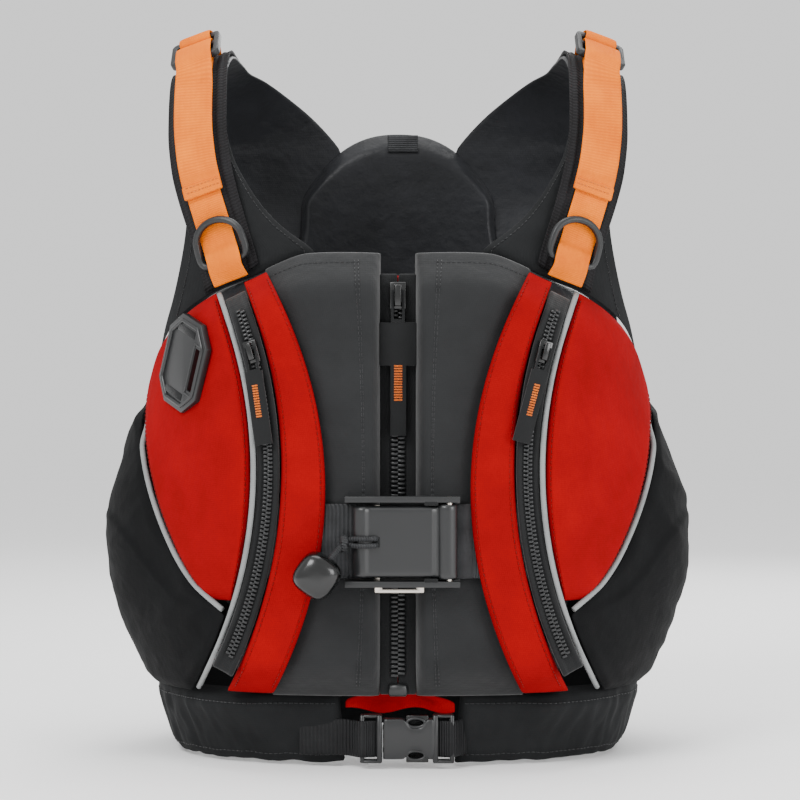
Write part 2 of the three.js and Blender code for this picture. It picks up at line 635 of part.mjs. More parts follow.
for (const [side, hand] of HALVES) {
  add(
    `shoulder_pad_${hand}`,
    bent(
      (u, v, t) => {
        const offset = (u - 0.5) * SHOULDER_WIDTH - 2.5;
        const base = frontTop(strapX(0) + offset) + 1;
        const z = mix(base, YOKE_TOP, Math.min(1, 2 * v));
        const lean = v < 0.5 ? strapLean(z) : mix(strapLean(YOKE_TOP), 122, 2 * v - 1);
        const x = side * (strapX(lean) + offset);
        if (z < SHOULDER_FRONT_Z) return rise(x, z, PAD_OUT + PAD_THICK * t, false);
        return shoulder(x, lean, PAD_OUT + PAD_THICK * t);
      },
      6,
      20,
    ),
    ribbed,
  );

  const tilt = new THREE.Vector3(0, Math.cos(degrees(LOCK_TILT)), Math.sin(degrees(LOCK_TILT)));
  const lock = strapFrame(side, LOCK_LEAN, LOCK_OUT, tilt);
  const inLock = (width, along, out) =>
    [-0.5, 0.5].map((half) => new THREE.Vector3(side * half * width, along, out).applyMatrix4(lock));
  const overBar = D_RING_OUT + (D_RING_WIRE + 1.1 + STRAP / 2) / CHEST_TURN;
  const foot = [-0.5, 0.5].map((half) => {
    const x = strapX(0) + half * WEBBING;
    return rise(side * x, frontTop(x) + 1.2, STRAP_MIDDLE + 2.5, false);
  });
  const runs = [[D_RING_Z - 5, overBar - 1], [D_RING_Z, overBar], [D_RING_Z + 5.5, overBar - 1],
    [D_RING_Z + 11, STRAP_MIDDLE + 0.6]];
  for (const z of [352, 362]) runs.push([z, STRAP_MIDDLE + 0.6]);
  for (const z of [373, 390, 410, 430, 448]) runs.push([z, STRAP_MIDDLE]);
  add(
    `shoulder_strap_${hand}`,
    band(
      [
        foot,
        ...runs.map(([z, out]) => strapEdgesAt(side, z, WEBBING, out)),
        inLock(WEBBING, -15, -4.8),
        inLock(WEBBING, -9, -4),
        inLock(WEBBING, 1.5, -3.6),
      ],
      STRAP,
      44,
      2,
    ),
    orange,
  );
  const tailRuns = [TAIL_END + 13, 395, 405, 415, 425, 435, 446];
  add(
    `strap_tail_${hand}`,
    band(
      [
        strapEdgesAt(side, TAIL_END, TAIL_WEBBING, TAIL_MIDDLE + 0.4),
        strapEdgesAt(side, TAIL_END + 6, TAIL_WEBBING, TAIL_MIDDLE + 0.4),
        strapEdgesAt(side, TAIL_END + 11, TAIL_WEBBING, TAIL_MIDDLE + 0.2),
        ...tailRuns.map((z) => strapEdgesAt(side, z, TAIL_WEBBING, TAIL_MIDDLE)),
        inLock(TAIL_WEBBING, -19, 1.2),
        inLock(TAIL_WEBBING, -13, 3.6),
        inLock(TAIL_WEBBING, -8, 4.1),
        inLock(TAIL_WEBBING, 0, 4.1),
        inLock(TAIL_WEBBING, 3.8, 2.6),
        inLock(TAIL_WEBBING, 4.4, -0.6),
      ],
      STRAP,
      44,
      2,
    ),
    orange,
  );
  add(
    `rear_strap_${hand}`,
    band(
      [
        inLock(WEBBING, 7.1, -1.5),
        inLock(WEBBING, 7.6, 2.7),
        inLock(WEBBING, 10.5, 4.3),
        inLock(WEBBING, 14.5, 3.9),
        inLock(WEBBING, 17.8, 1),
        inLock(WEBBING, 24, -7),
        strapEdges(side, 97, WEBBING, STRAP_MIDDLE),
        strapEdges(side, 108, WEBBING, STRAP_MIDDLE),
        strapEdges(side, 118, WEBBING, STRAP_MIDDLE),
      ],
      STRAP,
      28,
      2,
    ),
    orange,
  );

  // Ladder lock: a frame with three bars; the strap turns round the middle one.
  const outline = new THREE.Shape();
  const [w, l, r] = [LOCK.width / 2, LOCK.length / 2, 4];
  outline.moveTo(-w + r, -l).lineTo(w - r, -l).absarc(w - r, -l + r, r, -Math.PI / 2, 0);
  outline.lineTo(w, l - r).absarc(w - r, l - r, r, 0, Math.PI / 2);
  outline.lineTo(-w + r, l).absarc(-w + r, l - r, r, Math.PI / 2, Math.PI);
  outline.lineTo(-w, -l + r).absarc(-w + r, -l + r, r, Math.PI, 1.5 * Math.PI);
  const frame = new THREE.ExtrudeGeometry(outline, { depth: LOCK.thickness, bevelEnabled: false, curveSegments: 4 });
  frame.translate(0, 0, -LOCK.thickness / 2);
  const slots = [-1, 1].map((end) => box(0, end * (LOCK.bar / 2 + 3.45), 0, LOCK.slot, 6.9, 20));
  add(`ladder_lock_${hand}`, cut(frame, ...slots).applyMatrix4(lock), plastic);

  // D-ring: a straight bar under the strap and a round bow that lies on it.
  const bow = [];
  for (let i = 0; i <= 12; i += 1) {
    const turn = (i / 12) * Math.PI;
    bow.push(new THREE.Vector3(D_RING_HALF * Math.cos(turn), 14 + 15.2 * Math.sin(turn), 0));
  }
  bow.push(new THREE.Vector3(-D_RING_HALF, 5, 0), new THREE.Vector3(-D_RING_HALF + 2, 0.8, 0));
  for (const x of [-10, 0, 10]) bow.push(new THREE.Vector3(x, 0, 0));
  bow.push(new THREE.Vector3(D_RING_HALF - 2, 0.8, 0), new THREE.Vector3(D_RING_HALF, 5, 0));
  const wire = new THREE.TubeGeometry(new THREE.CatmullRomCurve3(bow, true, "centripetal"), 44, D_RING_WIRE, 8, true);
  const barLean = strapLean(D_RING_Z);
  const bowLean = strapLean(D_RING_Z + 29);
  const ringUp = shoulder(side * strapX(bowLean), bowLean, D_RING_OUT + 4);
  ringUp.sub(shoulder(side * strapX(barLean), barLean, D_RING_OUT));
  const ringFrame = strapFrame(side, barLean, D_RING_OUT, ringUp);
  wire.translate(-side * D_RING_SHIFT, 0, 0);
  add(`d_ring_${hand}`, wire.applyMatrix4(ringFrame), plastic);
}

// ---- Main zip ----
// Height z, x from the middle and distance out from the body in front, for flat rigid pieces.
const frontY = (out) => BODY_Y - FRONT_DEPTHS[1][1] - out;
const slab = (x0, x1, out0, out1, z0, z1) =>
  box((x0 + x1) / 2, frontY((out0 + out1) / 2), (z0 + z1) / 2, x1 - x0, out1 - out0, z1 - z0);
for (const [side, hand] of HALVES) {
  const [near, far] = [0.15, ZIP_WIDTH / 2 + 2.6];
  const [teethLow, teethHigh] = [PANEL_BASE + 12, ZIP_TOP - 16];
  const tape = slab(near, far, ZIP_DEPTH, ZIP_DEPTH + TAPE, PANEL_BASE + 1, ZIP_TOP);
  const chain = slab(near, CHAIN, ZIP_DEPTH + TAPE - 0.4, ZIP_DEPTH + TAPE + 2.2, teethLow, teethHigh);
  add(`zip_tape_${hand}`, mirrored(join(tape, chain), side), black);
}
const SLIDER_Z = 310; // middle of the slider when the zip is closed
const SLIDER_OUT = ZIP_DEPTH + TAPE + 2.5;
const sliderBody = slab(-5.5, 5.5, SLIDER_OUT, SLIDER_OUT + 3, SLIDER_Z - 9, SLIDER_Z + 9);
const bridge = cut(
  slab(-2.2, 2.2, SLIDER_OUT + 2, SLIDER_OUT + 8, SLIDER_Z - 7, SLIDER_Z + 7),
  slab(-4, 4, SLIDER_OUT + 3, SLIDER_OUT + 6.2, SLIDER_Z - 4.6, SLIDER_Z + 4.6),
);
add("zip_slider", join(sliderBody, bridge), gloss);
// The pull hangs from the bridge by a wire link: a wide flap of webbing with a narrow tab below it.
const PULL_OUT = SLIDER_OUT + 4.6;
const link = cut(
  slab(-4.6, 4.6, PULL_OUT - 0.9, PULL_OUT + 0.9, SLIDER_Z - 20, SLIDER_Z + 3.8),
  slab(-2.8, 2.8, PULL_OUT - 3, PULL_OUT + 3, SLIDER_Z - 16, SLIDER_Z + 2),
);
add(
  "zip_pull",
  join(
    link,
    slab(-12.3, 12.3, PULL_OUT - 1, PULL_OUT + 1, SLIDER_Z - 47, SLIDER_Z - 18),
    slab(-5, 5.5, PULL_OUT - 1, PULL_OUT + 1, SLIDER_Z - 94, SLIDER_Z - 46),
  ),
  black,
);
add(
  "storm_flap",
  join(
    slab(-12.4, 12.4, ZIP_DEPTH - 3, ZIP_DEPTH - 1, PANEL_BASE - 0.6, NECK_Z - 6),
    slab(-12.4, 12.4, 6, ZIP_DEPTH - 1, PANEL_BASE - 2.6, PANEL_BASE - 0.6),
    slab(-34, 37, 6, 8, 31.3, PANEL_BASE - 0.6),
  ),
  red,
);

// ---- Pocket sliders ----
const PULL_LENGTH = 62;
for (const [side, hand] of HALVES) {
  // Built upright about the arc's centre, then turned into the arc's plane.
  const centre = arcPoint(side, 0, 0, ZIP_FACE + CHAIN_RISE);
  const spread = side > 0 ? 0 : degrees(7);
  const place = (geometry) =>
    geometry
      .rotateY(-SLIDER_AT)
      .scale(side, 1, 1)
      .rotateZ(side * degrees(POCKET_ZIP_TURN))
      .translate(centre.x, centre.y, centre.z);
  const part = (x0, x1, out0, out1, z0, z1) =>
    box((x0 + x1) / 2 - POCKET_ZIP_RADIUS, -(out0 + out1) / 2, (z0 + z1) / 2, x1 - x0, out1 - out0, z1 - z0);
  const body = part(-4.5, 4.5, GAP, GAP + 2.6, -7.5, 7.5);
  const loop = cut(part(-1.8, 1.8, 2, 7.4, -5.5, 6), part(-3, 3, GAP + 2.6, 5.6, -3.4, 4));
  add(`pocket_slider_${hand}`, closed(place(join(body, loop))), gloss);
  const out = GAP + 3.95;
  const wire = cut(part(-4.2, 4.2, out - 0.8, out + 0.8, -15, 3.4), part(-2.8, 2.8, 0, 20, -12, 1.7));
  const tab = part(-6, 6, out - 0.8, out + 0.8, -PULL_LENGTH, -13);
  const pull = join(wire, tab).translate(POCKET_ZIP_RADIUS, 0, 0).rotateY(-spread).translate(-POCKET_ZIP_RADIUS, 0, 0);
  add(`pocket_pull_${hand}`, closed(place(pull)), black);
}

// ---- Quick-release harness ----
const BELT_BASE = FOAM_FRONT + SIDE_PAD + BELT_OUT;
const PLATE_OUT = BELT_BASE + BELT + GAP; // the buckle's underside
const BUCKLE = { x0: -37, x1: 41, baseX: -12, height: 52, base: 3, rail: 4, rise: 12, pinX: 34, pinRise: 9.5, pin: 2 };
const LEVER = { x0: -28.5, height: 47.4, thickness: 5, cam: 3.9 };
const beltBottom = HARNESS_Z - HARNESS_WEBBING / 2;
const beltTop = HARNESS_Z + HARNESS_WEBBING / 2;
const beltEdges = (x, out) => [beltBottom, beltTop].map((z) => new THREE.Vector3(x, frontY(out), z));
const round = [];
for (let i = 0; i <= 56; i += 1) {
  const angle = mix(frontAngle(-17.5, HARNESS_Z), frontAngle(50, HARNESS_Z) - 2 * Math.PI, i / 56);
  round.push([beltBottom, beltTop].map((z) => aroundBody(angle, z, BELT_OUT + BELT / 2)));
}
const overBase = PLATE_OUT + BUCKLE.base + GAP + BELT / 2;
add(
  "harness_belt",
  band([...round, beltEdges(44, overBase - 1), beltEdges(38, overBase), beltEdges(30, overBase), beltEdges(22, overBase)], BELT, 130),
  webbing,
);
const inBuckle = (x0, x1, out0, out1, z0, z1) =>
  slab(x0, x1, PLATE_OUT + out0, PLATE_OUT + out1, HARNESS_Z + z0, HARNESS_Z + z1);
const pinY = frontY(PLATE_OUT + BUCKLE.pinRise);
const half = BUCKLE.height / 2;
const rails = [-1, 1].map((end) =>
  inBuckle(BUCKLE.x0 + 2, BUCKLE.x1, 0, BUCKLE.rise, end > 0 ? half : -half - BUCKLE.rail, end > 0 ? half + BUCKLE.rail : -half),
);
add(
  "qr_frame",
  cut(
    join(inBuckle(BUCKLE.baseX, BUCKLE.x1, 0, BUCKLE.base, -half, half), ...rails),
    rodZ(BUCKLE.pinX, pinY, HARNESS_Z, BUCKLE.pin + GAP, 80),
  ),
  plastic,
);
add("qr_pin", rodZ(BUCKLE.pinX, pinY, HARNESS_Z, BUCKLE.pin, 2 * half + 2 * BUCKLE.rail), steel);
const leverOut = BUCKLE.pinRise;
const RING = { x: LEVER.x0 + 3.6, radius: 7, wire: 2 };
add(
  "qr_lever",
  cut(
    join(
      inBuckle(LEVER.x0, BUCKLE.pinX, leverOut - LEVER.thickness / 2, leverOut + LEVER.thickness / 2,
        -LEVER.height / 2, LEVER.height / 2),
      rodZ(BUCKLE.pinX, pinY, HARNESS_Z, LEVER.cam, LEVER.height, 24),
    ),
    rodZ(BUCKLE.pinX, pinY, HARNESS_Z, BUCKLE.pin + GAP, 80),
    inBuckle(RING.x + 4.1, RING.x + 9.4, leverOut - 9, leverOut + 9, -2.5, 2.5),
  ),
  plastic,
);
// A loop of cord through the lever, and its ball.
const ringCentre = new THREE.Vector3(RING.x, pinY, HARNESS_Z);
const BALL = { x: -53, z: 125, radius: 14.3 };
const ballY = frontY(PLATE_OUT + BALL.radius + 5.4);
const stem = rope(
  [
    ringCentre.clone().add(new THREE.Vector3(-RING.radius, 0, 0)),
    ringCentre.clone().add(new THREE.Vector3(-RING.radius - 4, -1, -2)),
    new THREE.Vector3(BALL.x + 8, ballY, BALL.z + 10),
    new THREE.Vector3(BALL.x, ballY, BALL.z),
  ],
  RING.wire,
  12,
);
const ringOfCord = new THREE.TorusGeometry(RING.radius, RING.wire, 8, 20).translate(...ringCentre.toArray());
add("toggle_cord", join(ringOfCord, stem), webbing);
const blob = new THREE.SphereGeometry(1, 20, 14);
const blobAt = blob.attributes.position;
for (let i = 0; i < blobAt.count; i += 1) {
  const d = new THREE.Vector3().fromBufferAttribute(blobAt, i);
  const size = (Math.abs(d.x) ** 3 + Math.abs(d.y) ** 3 + Math.abs(d.z) ** 3) ** (1 / 3);
  blobAt.setXYZ(i, d.x / size, d.y / size, d.z / size);
}
blob.rotateY(degrees(35)).scale(BALL.radius, BALL.radius, BALL.radius).translate(BALL.x, ballY, BALL.z);
const bore = rope(
  [
    new THREE.Vector3(BALL.x + 20, ballY, BALL.z + 25),
    new THREE.Vector3(BALL.x + 8, ballY, BALL.z + 10),
    new THREE.Vector3(BALL.x - 3, ballY, BALL.z - 4),
  ],
  RING.wire + 1,
  6,
);
add("toggle_ball", cut(blob, bore), gloss);
add(
  "tension_plate",
  cut(
    slab(-15.5, 17.5, PLATE_OUT - GAP - 1.8, PLATE_OUT - GAP, HARNESS_Z - 34.5, HARNESS_Z + 24),
    slab(-10, 12, 0, 80, HARNESS_Z - 31.5, HARNESS_Z - 27),
  ),
  steel,
);

// ---- Lash tab on the wearer's right pocket ----
const TAB = { x: -142, z: 265, width: 51, height: 63, thickness: 4.5, corner: 13, lean: -20 };
const octagon = new THREE.Shape();
const [tw, th, tc] = [TAB.width / 2, TAB.height / 2, TAB.corner];
octagon.moveTo(-tw + tc, -th).lineTo(tw - tc, -th).lineTo(tw, -th + tc).lineTo(tw, th - tc).lineTo(tw - tc, th);
octagon.lineTo(-tw + tc, th).lineTo(-tw, th - tc).lineTo(-tw, -th + tc).closePath();
const tab = new THREE.ExtrudeGeometry(octagon, { depth: TAB.thickness, bevelEnabled: false });
const tabSlots = [box(0, th - 8.5, 0, 23, 30, 5), box(0, 8.5 - th, 0, 23, 30, 5), box(tw - 9.5, 0, 0, 6.5, 30, 33)];
for (const slot of tabSlots.slice(0, 2)) slot.rotateX(Math.PI / 2);
const outward = (x, z, out) => onTorso(x, z, frontPad(x, z) + out, false);
const tabAt = outward(TAB.x, TAB.z, POCKET_RISE + 1.2);
const tabX = outward(TAB.x + 8, TAB.z, POCKET_RISE).sub(outward(TAB.x - 8, TAB.z, POCKET_RISE)).normalize();
const tabUp = outward(TAB.x, TAB.z + 6, POCKET_RISE).sub(outward(TAB.x, TAB.z - 14, POCKET_RISE));
const tabFace = tabX.clone().cross(tabUp).normalize();
const tabFrame = new THREE.Matrix4().makeBasis(tabX, tabFace.clone().cross(tabX), tabFace).setPosition(tabAt);
add("lash_tab", cut(tab, ...tabSlots).rotateZ(degrees(TAB.lean)).applyMatrix4(tabFrame), plastic);

// ---- Label inside the back, below its top edge ----
add(
  "neck_label",
  bent(
    (u, v, t) => {
      const x = mix(-8, 15, u);
      const z = mix(BACK_TOP - 15, BACK_TOP - 2, v);
      return onTorso(x, z, -0.4 - 0.6 * t, true);
    },
    2,
    1,
  ),
  webbing,
);

// ---- Waist ----
const BAND_INNER = 2;
const BAND_OUTER = 10;
const WAIST_Z = 12.5;
const WAIST_OUT = 18; // middle of the buckle, out from the body
const waistY = (out) => BODY_Y - through(FRONT_DEPTHS, WAIST_Z) - out;
const GAP_RIGHT = -38;
const GAP_LEFT = 40.5;
const waistAngle = (x) => Math.sign(x) * Math.asin((Math.abs(x) / (through(HALF_WIDTHS, 20) + 6)) ** (ROUNDNESS / 2));
const REAR_ANGLE = degrees(118);
const hem = (fromAngle, toAngle, across) =>
  bent(
    (u, v, t) => {
      const z = mix(-HEM_DROP, HEM_TOP, v);
      const puff = 1 - 0.25 * Math.abs(2 * v - 1) ** 2;
      return ring(mix(fromAngle, toAngle, u), z, mix(BAND_INNER, BAND_OUTER, t) * (t > 0.5 ? puff : 1));
    },
    across,
    4,
  );
const inWaist = (x0, x1, out0, out1, z0, z1) =>
  box((x0 + x1) / 2, (waistY(WAIST_OUT + out0) + waistY(WAIST_OUT + out1)) / 2, WAIST_Z + (z0 + z1) / 2,
    x1 - x0, out1 - out0, z1 - z0);
// A webbing strap from the end of the band to the bar of the buckle.
const waistTab = (x0, x1) => {
  const step = (x1 - x0) / 6;
  const rows = [[x0, -12.5], [x0 + step, -12.5], [x0 + 3 * step, -7], [x0 + 4.4 * step, -1.2], [x1, 0]];
  return band(rows.map(([x, out]) => [-12.5, 12.5].map((z) => new THREE.Vector3(x, waistY(WAIST_OUT + out), WAIST_Z + z))), 2, 14);
};
add("waistband_right", hem(waistAngle(GAP_RIGHT), -REAR_ANGLE + 0.004, 14), black);
add("waistband_left", join(hem(waistAngle(GAP_LEFT), REAR_ANGLE - 0.004, 14), waistTab(GAP_LEFT + 6, 35.1)), black);
add("waistband_back", hem(REAR_ANGLE + 0.004, 2 * Math.PI - REAR_ANGLE - 0.004, 12), black);

// Side-release buckle. The two arms of the male half spring together when squeezed.
const MOUTH = -10;
const shell = [inWaist(MOUTH, 24.5, 3.6, 5.4, -13.5, 13.5), inWaist(MOUTH, 24.5, -5.4, -3.6, -13.5, 13.5)];
const heel = inWaist(23.5, 38, -5.4, 5.4, -16.2, 16.2);
add("waist_buckle_female", cut(join(...shell, heel), inWaist(34.7, 50, -3.6, 1.5, -12.9, 12.9)), gloss);
const maleBody = cut(inWaist(-25.5, -10.5, -5.4, 5.4, -16.2, 16.2), inWaist(-43, -22.7, -3, 1.5, -12.9, 12.9));
const guide = inWaist(-11.5, 16.5, -2.9, 2.9, -2.2, 2.2);
// The male half's webbing lies on the waistband and rises to the buckle.
const maleRows = [-67, -61, -55, -49, -43, -37.5].map((x) =>
  [-12.5, 12.5].map((z) => new THREE.Vector3(x, ring(waistAngle(x), WAIST_Z + z, BAND_OUTER + 1.6).y, WAIST_Z + z)),
);
for (const [x, back] of [[-31.5, 4], [-26.5, 0.8], [-22.1, 0]]) {
  maleRows.push([-12.5, 12.5].map((z) => new THREE.Vector3(x, waistY(WAIST_OUT - back), WAIST_Z + z)));
}
const maleWebbing = band(maleRows, 2, 24);
add("waist_buckle_male", join(maleBody, guide, maleWebbing), gloss);
for (const [end, place] of [[1, "upper"], [-1, "lower"]]) {
  const span = (z0, z1) => [Math.min(end * z0, end * z1), Math.max(end * z0, end * z1)];
  const beam = inWaist(MOUTH - 0.2, 20.5, -2.9, 2.9, ...span(6.2, 9.2));
  const catcher = inWaist(5.5, 20.5, -2.9, 2.9, ...span(8, 15.8));
  add(`buckle_arm_${place}`, join(beam, catcher), gloss);
}

for (const mesh of jacket.children) mesh.geometry.translate(0, 0, HEM_DROP);

export default jacket;
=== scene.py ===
"""A white-water rescue life jacket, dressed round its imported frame."""

import logging
import math
from collections.abc import Callable, Sequence
from dataclasses import dataclass, field
from enum import Enum

import bmesh
import bpy
from mathutils import Matrix, Vector, noise

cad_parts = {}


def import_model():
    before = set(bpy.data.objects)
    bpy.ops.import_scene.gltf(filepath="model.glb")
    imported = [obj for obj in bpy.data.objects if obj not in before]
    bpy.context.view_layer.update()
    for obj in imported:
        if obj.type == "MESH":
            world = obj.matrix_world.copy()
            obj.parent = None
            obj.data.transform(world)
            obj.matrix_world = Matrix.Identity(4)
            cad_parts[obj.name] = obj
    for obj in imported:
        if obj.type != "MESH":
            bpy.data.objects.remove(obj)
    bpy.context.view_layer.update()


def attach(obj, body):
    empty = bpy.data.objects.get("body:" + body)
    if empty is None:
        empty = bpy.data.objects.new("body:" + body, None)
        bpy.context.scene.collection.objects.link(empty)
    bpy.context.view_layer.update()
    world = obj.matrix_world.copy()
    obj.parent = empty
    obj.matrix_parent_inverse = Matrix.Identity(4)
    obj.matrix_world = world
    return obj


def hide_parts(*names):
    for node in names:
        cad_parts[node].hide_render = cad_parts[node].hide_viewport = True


LOG = logging.getLogger("life_jacket")
MM = 0.001
HEM_DROP = 6.0  # heights are measured from this far above the base, in millimetres
BODY_Y = 14.4
Knots = Sequence[tuple[float, float]]
Place = Callable[[float, float, float], Vector]


class Hand(Enum):
    """The wearer's right, at -X, and left, at +X."""

    RIGHT = -1
    LEFT = 1

    @property
    def word(self) -> str:
        """The hand's name in a piece's name."""
        return self.name.lower()


class Body(Enum):
    """The bodies that pieces ride on."""

    VEST = "vest"
    SLIDER = "zip_slider"
    PULL = "zip_pull"
    LEVER = "qr_lever"
    TOGGLE = "toggle"
    BUCKLE = "waist_buckle_male"


# ---- Small tools ----


def mix(a: float, b: float, share: float) -> float:
    """The value a share of the way from a to b."""
    return a + (b - a) * share


def ease(share: float) -> float:
    """A share from 0 to 1 with a soft start and end."""
    t = min(1.0, max(0.0, share))
    return t * t * (3 - 2 * t)


def power(value: float, exponent: float) -> float:
    """A power that keeps the value's sign."""
    return math.copysign(abs(value) ** exponent, value)


def through(knots: Knots, at: float) -> float:
    """The smooth curve through knots.

    Args:
        knots: (position, value) pairs in rising order.
        at: The position to read.

    Returns:
        The curve's value there.
    """
    last = len(knots) - 1
    if at <= knots[0][0]:
        return knots[0][1]
    if at >= knots[last][0]:
        return knots[last][1]
    i = next(k for k, (position, _) in enumerate(knots) if position > at)

    def slope(k: int) -> float:
        """The slope of the curve at a knot."""
        before, after = knots[max(0, k - 1)], knots[min(last, k + 1)]
        return (after[1] - before[1]) / (after[0] - before[0])

    low, high = knots[i - 1], knots[i]
    span = high[0] - low[0]
    t = (at - low[0]) / span
    bend = (slope(i - 1) * (1 - t) - slope(i) * t) * span
    return mix(low[1], high[1], ease(t)) + t * (1 - t) * bend


def centripetal(points: Sequence[Vector], at: float) -> Vector:
    """A point of the centripetal spline through points.

    Args:
        points: What the spline passes through.
        at: 0 at the first point and 1 at the last.

    Returns:
        The spline's point.
    """
    count = len(points)
    place = (count - 1) * min(1.0, max(0.0, at))
    i = min(int(place), count - 2)
    w = place - i
    p1, p2 = points[i], points[i + 1]
    p0 = points[i - 1] if i > 0 else p1 * 2 - p2
    p3 = points[i + 2] if i + 2 < count else p2 * 2 - p1
    d0, d1, d2 = (max(1e-4, math.sqrt((b - a).length)) for a, b in ((p0, p1), (p1, p2), (p2, p3)))
    t1 = ((p1 - p0) / d0 - (p2 - p0) / (d0 + d1) + (p2 - p1) / d1) * d1
    t2 = ((p2 - p1) / d1 - (p3 - p1) / (d1 + d2) + (p3 - p2) / d2) * d1
    return p1 + t1 * w + (p2 * 3 - p1 * 3 - t1 * 2 - t2) * w**2 + (p1 * 2 - p2 * 2 + t1 + t2) * w**3


def metres(point: Vector) -> Vector:
    """A point of the torso's millimetres in the frame's metres."""
    return Vector((point.x, point.y, point.z + HEM_DROP)) * MM


# ---- The torso ----


@dataclass(frozen=True)
class Torso:
    """The wearer's body and the padding on it, in millimetres, as the frame has them."""

    roundness: float = 2.5
    half_widths: Knots = ((-6, 150), (33, 162), (61, 175), (97, 189), (133, 195), (169, 195.5), (204, 186),
                          (226, 178), (250, 171), (320, 163), (400, 156), (480, 150))
    front_depths: Knots = ((0, 108), (40, 114), (340, 114), (480, 110))
    back_depths: Knots = ((0, 92), (60, 98), (150, 104), (240, 106), (330, 104), (430, 92))
    top_edge: Knots = ((0, 339), (61, 339), (80, 333), (100, 324), (125, 315), (151, 299), (164, 282),
                       (173, 256), (178, 240))
    strap_line: Knots = ((0, 113), (2.5, 116), (10, 126), (17, 133), (25, 138),
                         (38, 141), (90, 141), (125, 134))
    back_widths: Knots = ((40, 122), (120, 127), (200, 128), (260, 120), (320, 96), (360, 79), (400, 76))
    base: float = 41
    foam_front: float = 34
    foam_back: float = 28
    side_pad: float = 2
    back_top: float = 443
    dome: float = 51
    neck: float = 76
    layers: float = 6
    low_front: float = 300
    low_back: float = 330
    blend: float = 400

    def front_top(self, x: float) -> float:
        """Height of the front's upper edge at x."""
        return through(self.top_edge, abs(x))

    def back_half(self, z: float) -> float:
        """Half width of the back pad at a height."""
        return through(self.back_widths, z)

    def pad_edge(self, z: float) -> float:
        """x of the back pad's domed top at a height."""
        return self.neck * ((self.back_top - z) / self.dome) ** (1 / 2.4)

    def back_edge(self, x: float) -> float:
        """Height of the back pad's upper edge at x."""
        return self.back_top - self.dome * (abs(x) / self.neck) ** 2.4

    def depth(self, z: float, rear: bool) -> float:
        """The body's depth at a height."""
        return through(self.back_depths if rear else self.front_depths, z)

    def ring(self, angle: float, z: float, out: float) -> Vector:
        """A point of the oval: an angle round from the front and a distance out from the lining."""
        share = 2 / self.roundness
        across = (through(self.half_widths, z) + out) * power(math.sin(angle), share)
        deep = (self.depth(z, math.cos(angle) <= 0) + out) * power(math.cos(angle), share)
        return Vector((across, BODY_Y - deep, z))

    def pad(self, x: float, z: float, rear: bool = False) -> float:
        """How far the padding stands out from the lining."""
        foot = ease((z - self.base) / 30 + 0.2)
        if rear:
            side = 1 - ease((abs(x) - 112) / 60)
            rim = ease((self.back_top - z) / 60 + 0.1) * foot
            return self.side_pad + self.foam_back * side * (0.5 + 0.5 * rim)
        side = 1 - ease((abs(x) - 92) / 86)
        rim = ease((self.front_top(x) - z) / 30 + 0.1) * foot
        return self.side_pad + self.foam_front * side * (0.45 + 0.55 * rim)

    def angle(self, x: float, z: float, rear: bool = False) -> float:
        """The oval's angle at which x is reached."""
        reach = through(self.half_widths, z) + self.pad(x, z, rear) + self.layers
        turn = math.asin(min(1.0, abs(x) / reach) ** (self.roundness / 2))
        return math.copysign(math.pi - turn if rear else turn, x)

    def on(self, x: float, z: float, out: float, rear: bool = False) -> Vector:
        """A point of the front or back at x, a distance out from the lining."""
        at = self.ring(self.angle(x, z, rear), z, out)
        exact = 1 - ease((abs(x) - 125) / 35)
        if exact == 0:
            return at
        deep = (self.depth(z, rear) + out) * (1 if rear else -1)
        share = min(1.0, abs(x) / (through(self.half_widths, z) + out))
        y = BODY_Y + deep * (1 - share**self.roundness) ** (1 / self.roundness)
        return Vector((mix(at.x, x, exact), mix(at.y, y, exact), z))

    def around(self, angle: float, z: float, out: float) -> Vector:
        """The point an angle round the body, a distance out from the padding."""
        rear = math.cos(angle) < 0
        x = 0.0
        for _ in range(8):
            reach = through(self.half_widths, z) + self.pad(x, z, rear) + self.layers
            x = reach * abs(power(math.sin(angle), 2 / self.roundness))
        return self.on(math.copysign(x, math.sin(angle)), z, self.pad(x, z, rear) + out, rear)

    def ridge(self, x: float) -> float:
        """Height of the shoulder's ridge at x."""
        return 486 - 0.42 * (abs(x) - 103)

    def shoulder(self, x: float, lean: float, out: float) -> Vector:
        """A point over the shoulder: lean is 0 at the chest, 90 on the ridge and 180 on the back."""
        rear = lean >= 90
        low = self.low_back if rear else self.low_front
        reach = (104 if rear else 100) * (1 - min(1.0, abs(x) / 174) ** 5) ** 0.2
        sine = max(0.0, math.sin(math.radians(lean))) ** (2 / 3)
        z = low + (self.ridge(x) + out - low) * sine
        arch = BODY_Y - (reach + out) * power(math.cos(math.radians(lean)), 2 / 3)
        if z > self.blend:
            return Vector((x, arch, z))
        oval = self.ring(self.angle(x, z, rear), z, out).y
        return Vector((x, mix(oval, arch, ease((z - low) / (self.blend - low))), z))

    def lean_at(self, x: float, z: float, rear: bool = False) -> float:
        """The lean at which the shoulder reaches height z."""
        low = self.low_back if rear else self.low_front
        share = min(1.0, max(0.0, (z - low) / (self.ridge(x) - low)))
        lean = math.degrees(math.asin(share**1.5))
        return 180 - lean if rear else lean

    def rise(self, x: float, z: float, out: float, rear: bool) -> Vector:
        """A point on the fabric that rises from the panels to the shoulder."""
        if z > (self.low_back if rear else self.low_front):
            return Vector((x, self.shoulder(x, self.lean_at(x, z, rear), out).y, z))
        return Vector((x, self.ring(self.angle(x, z, rear), z, out).y, z))

    def strap_x(self, lean: float) -> float:
        """Middle of the shoulder strap at a lean."""
        return through(self.strap_line, lean)

    def strap_lean(self, z: float) -> float:
        """The strap's lean at a height on the chest."""
        return self.lean_at(self.strap_x(self.lean_at(130, z)), z)

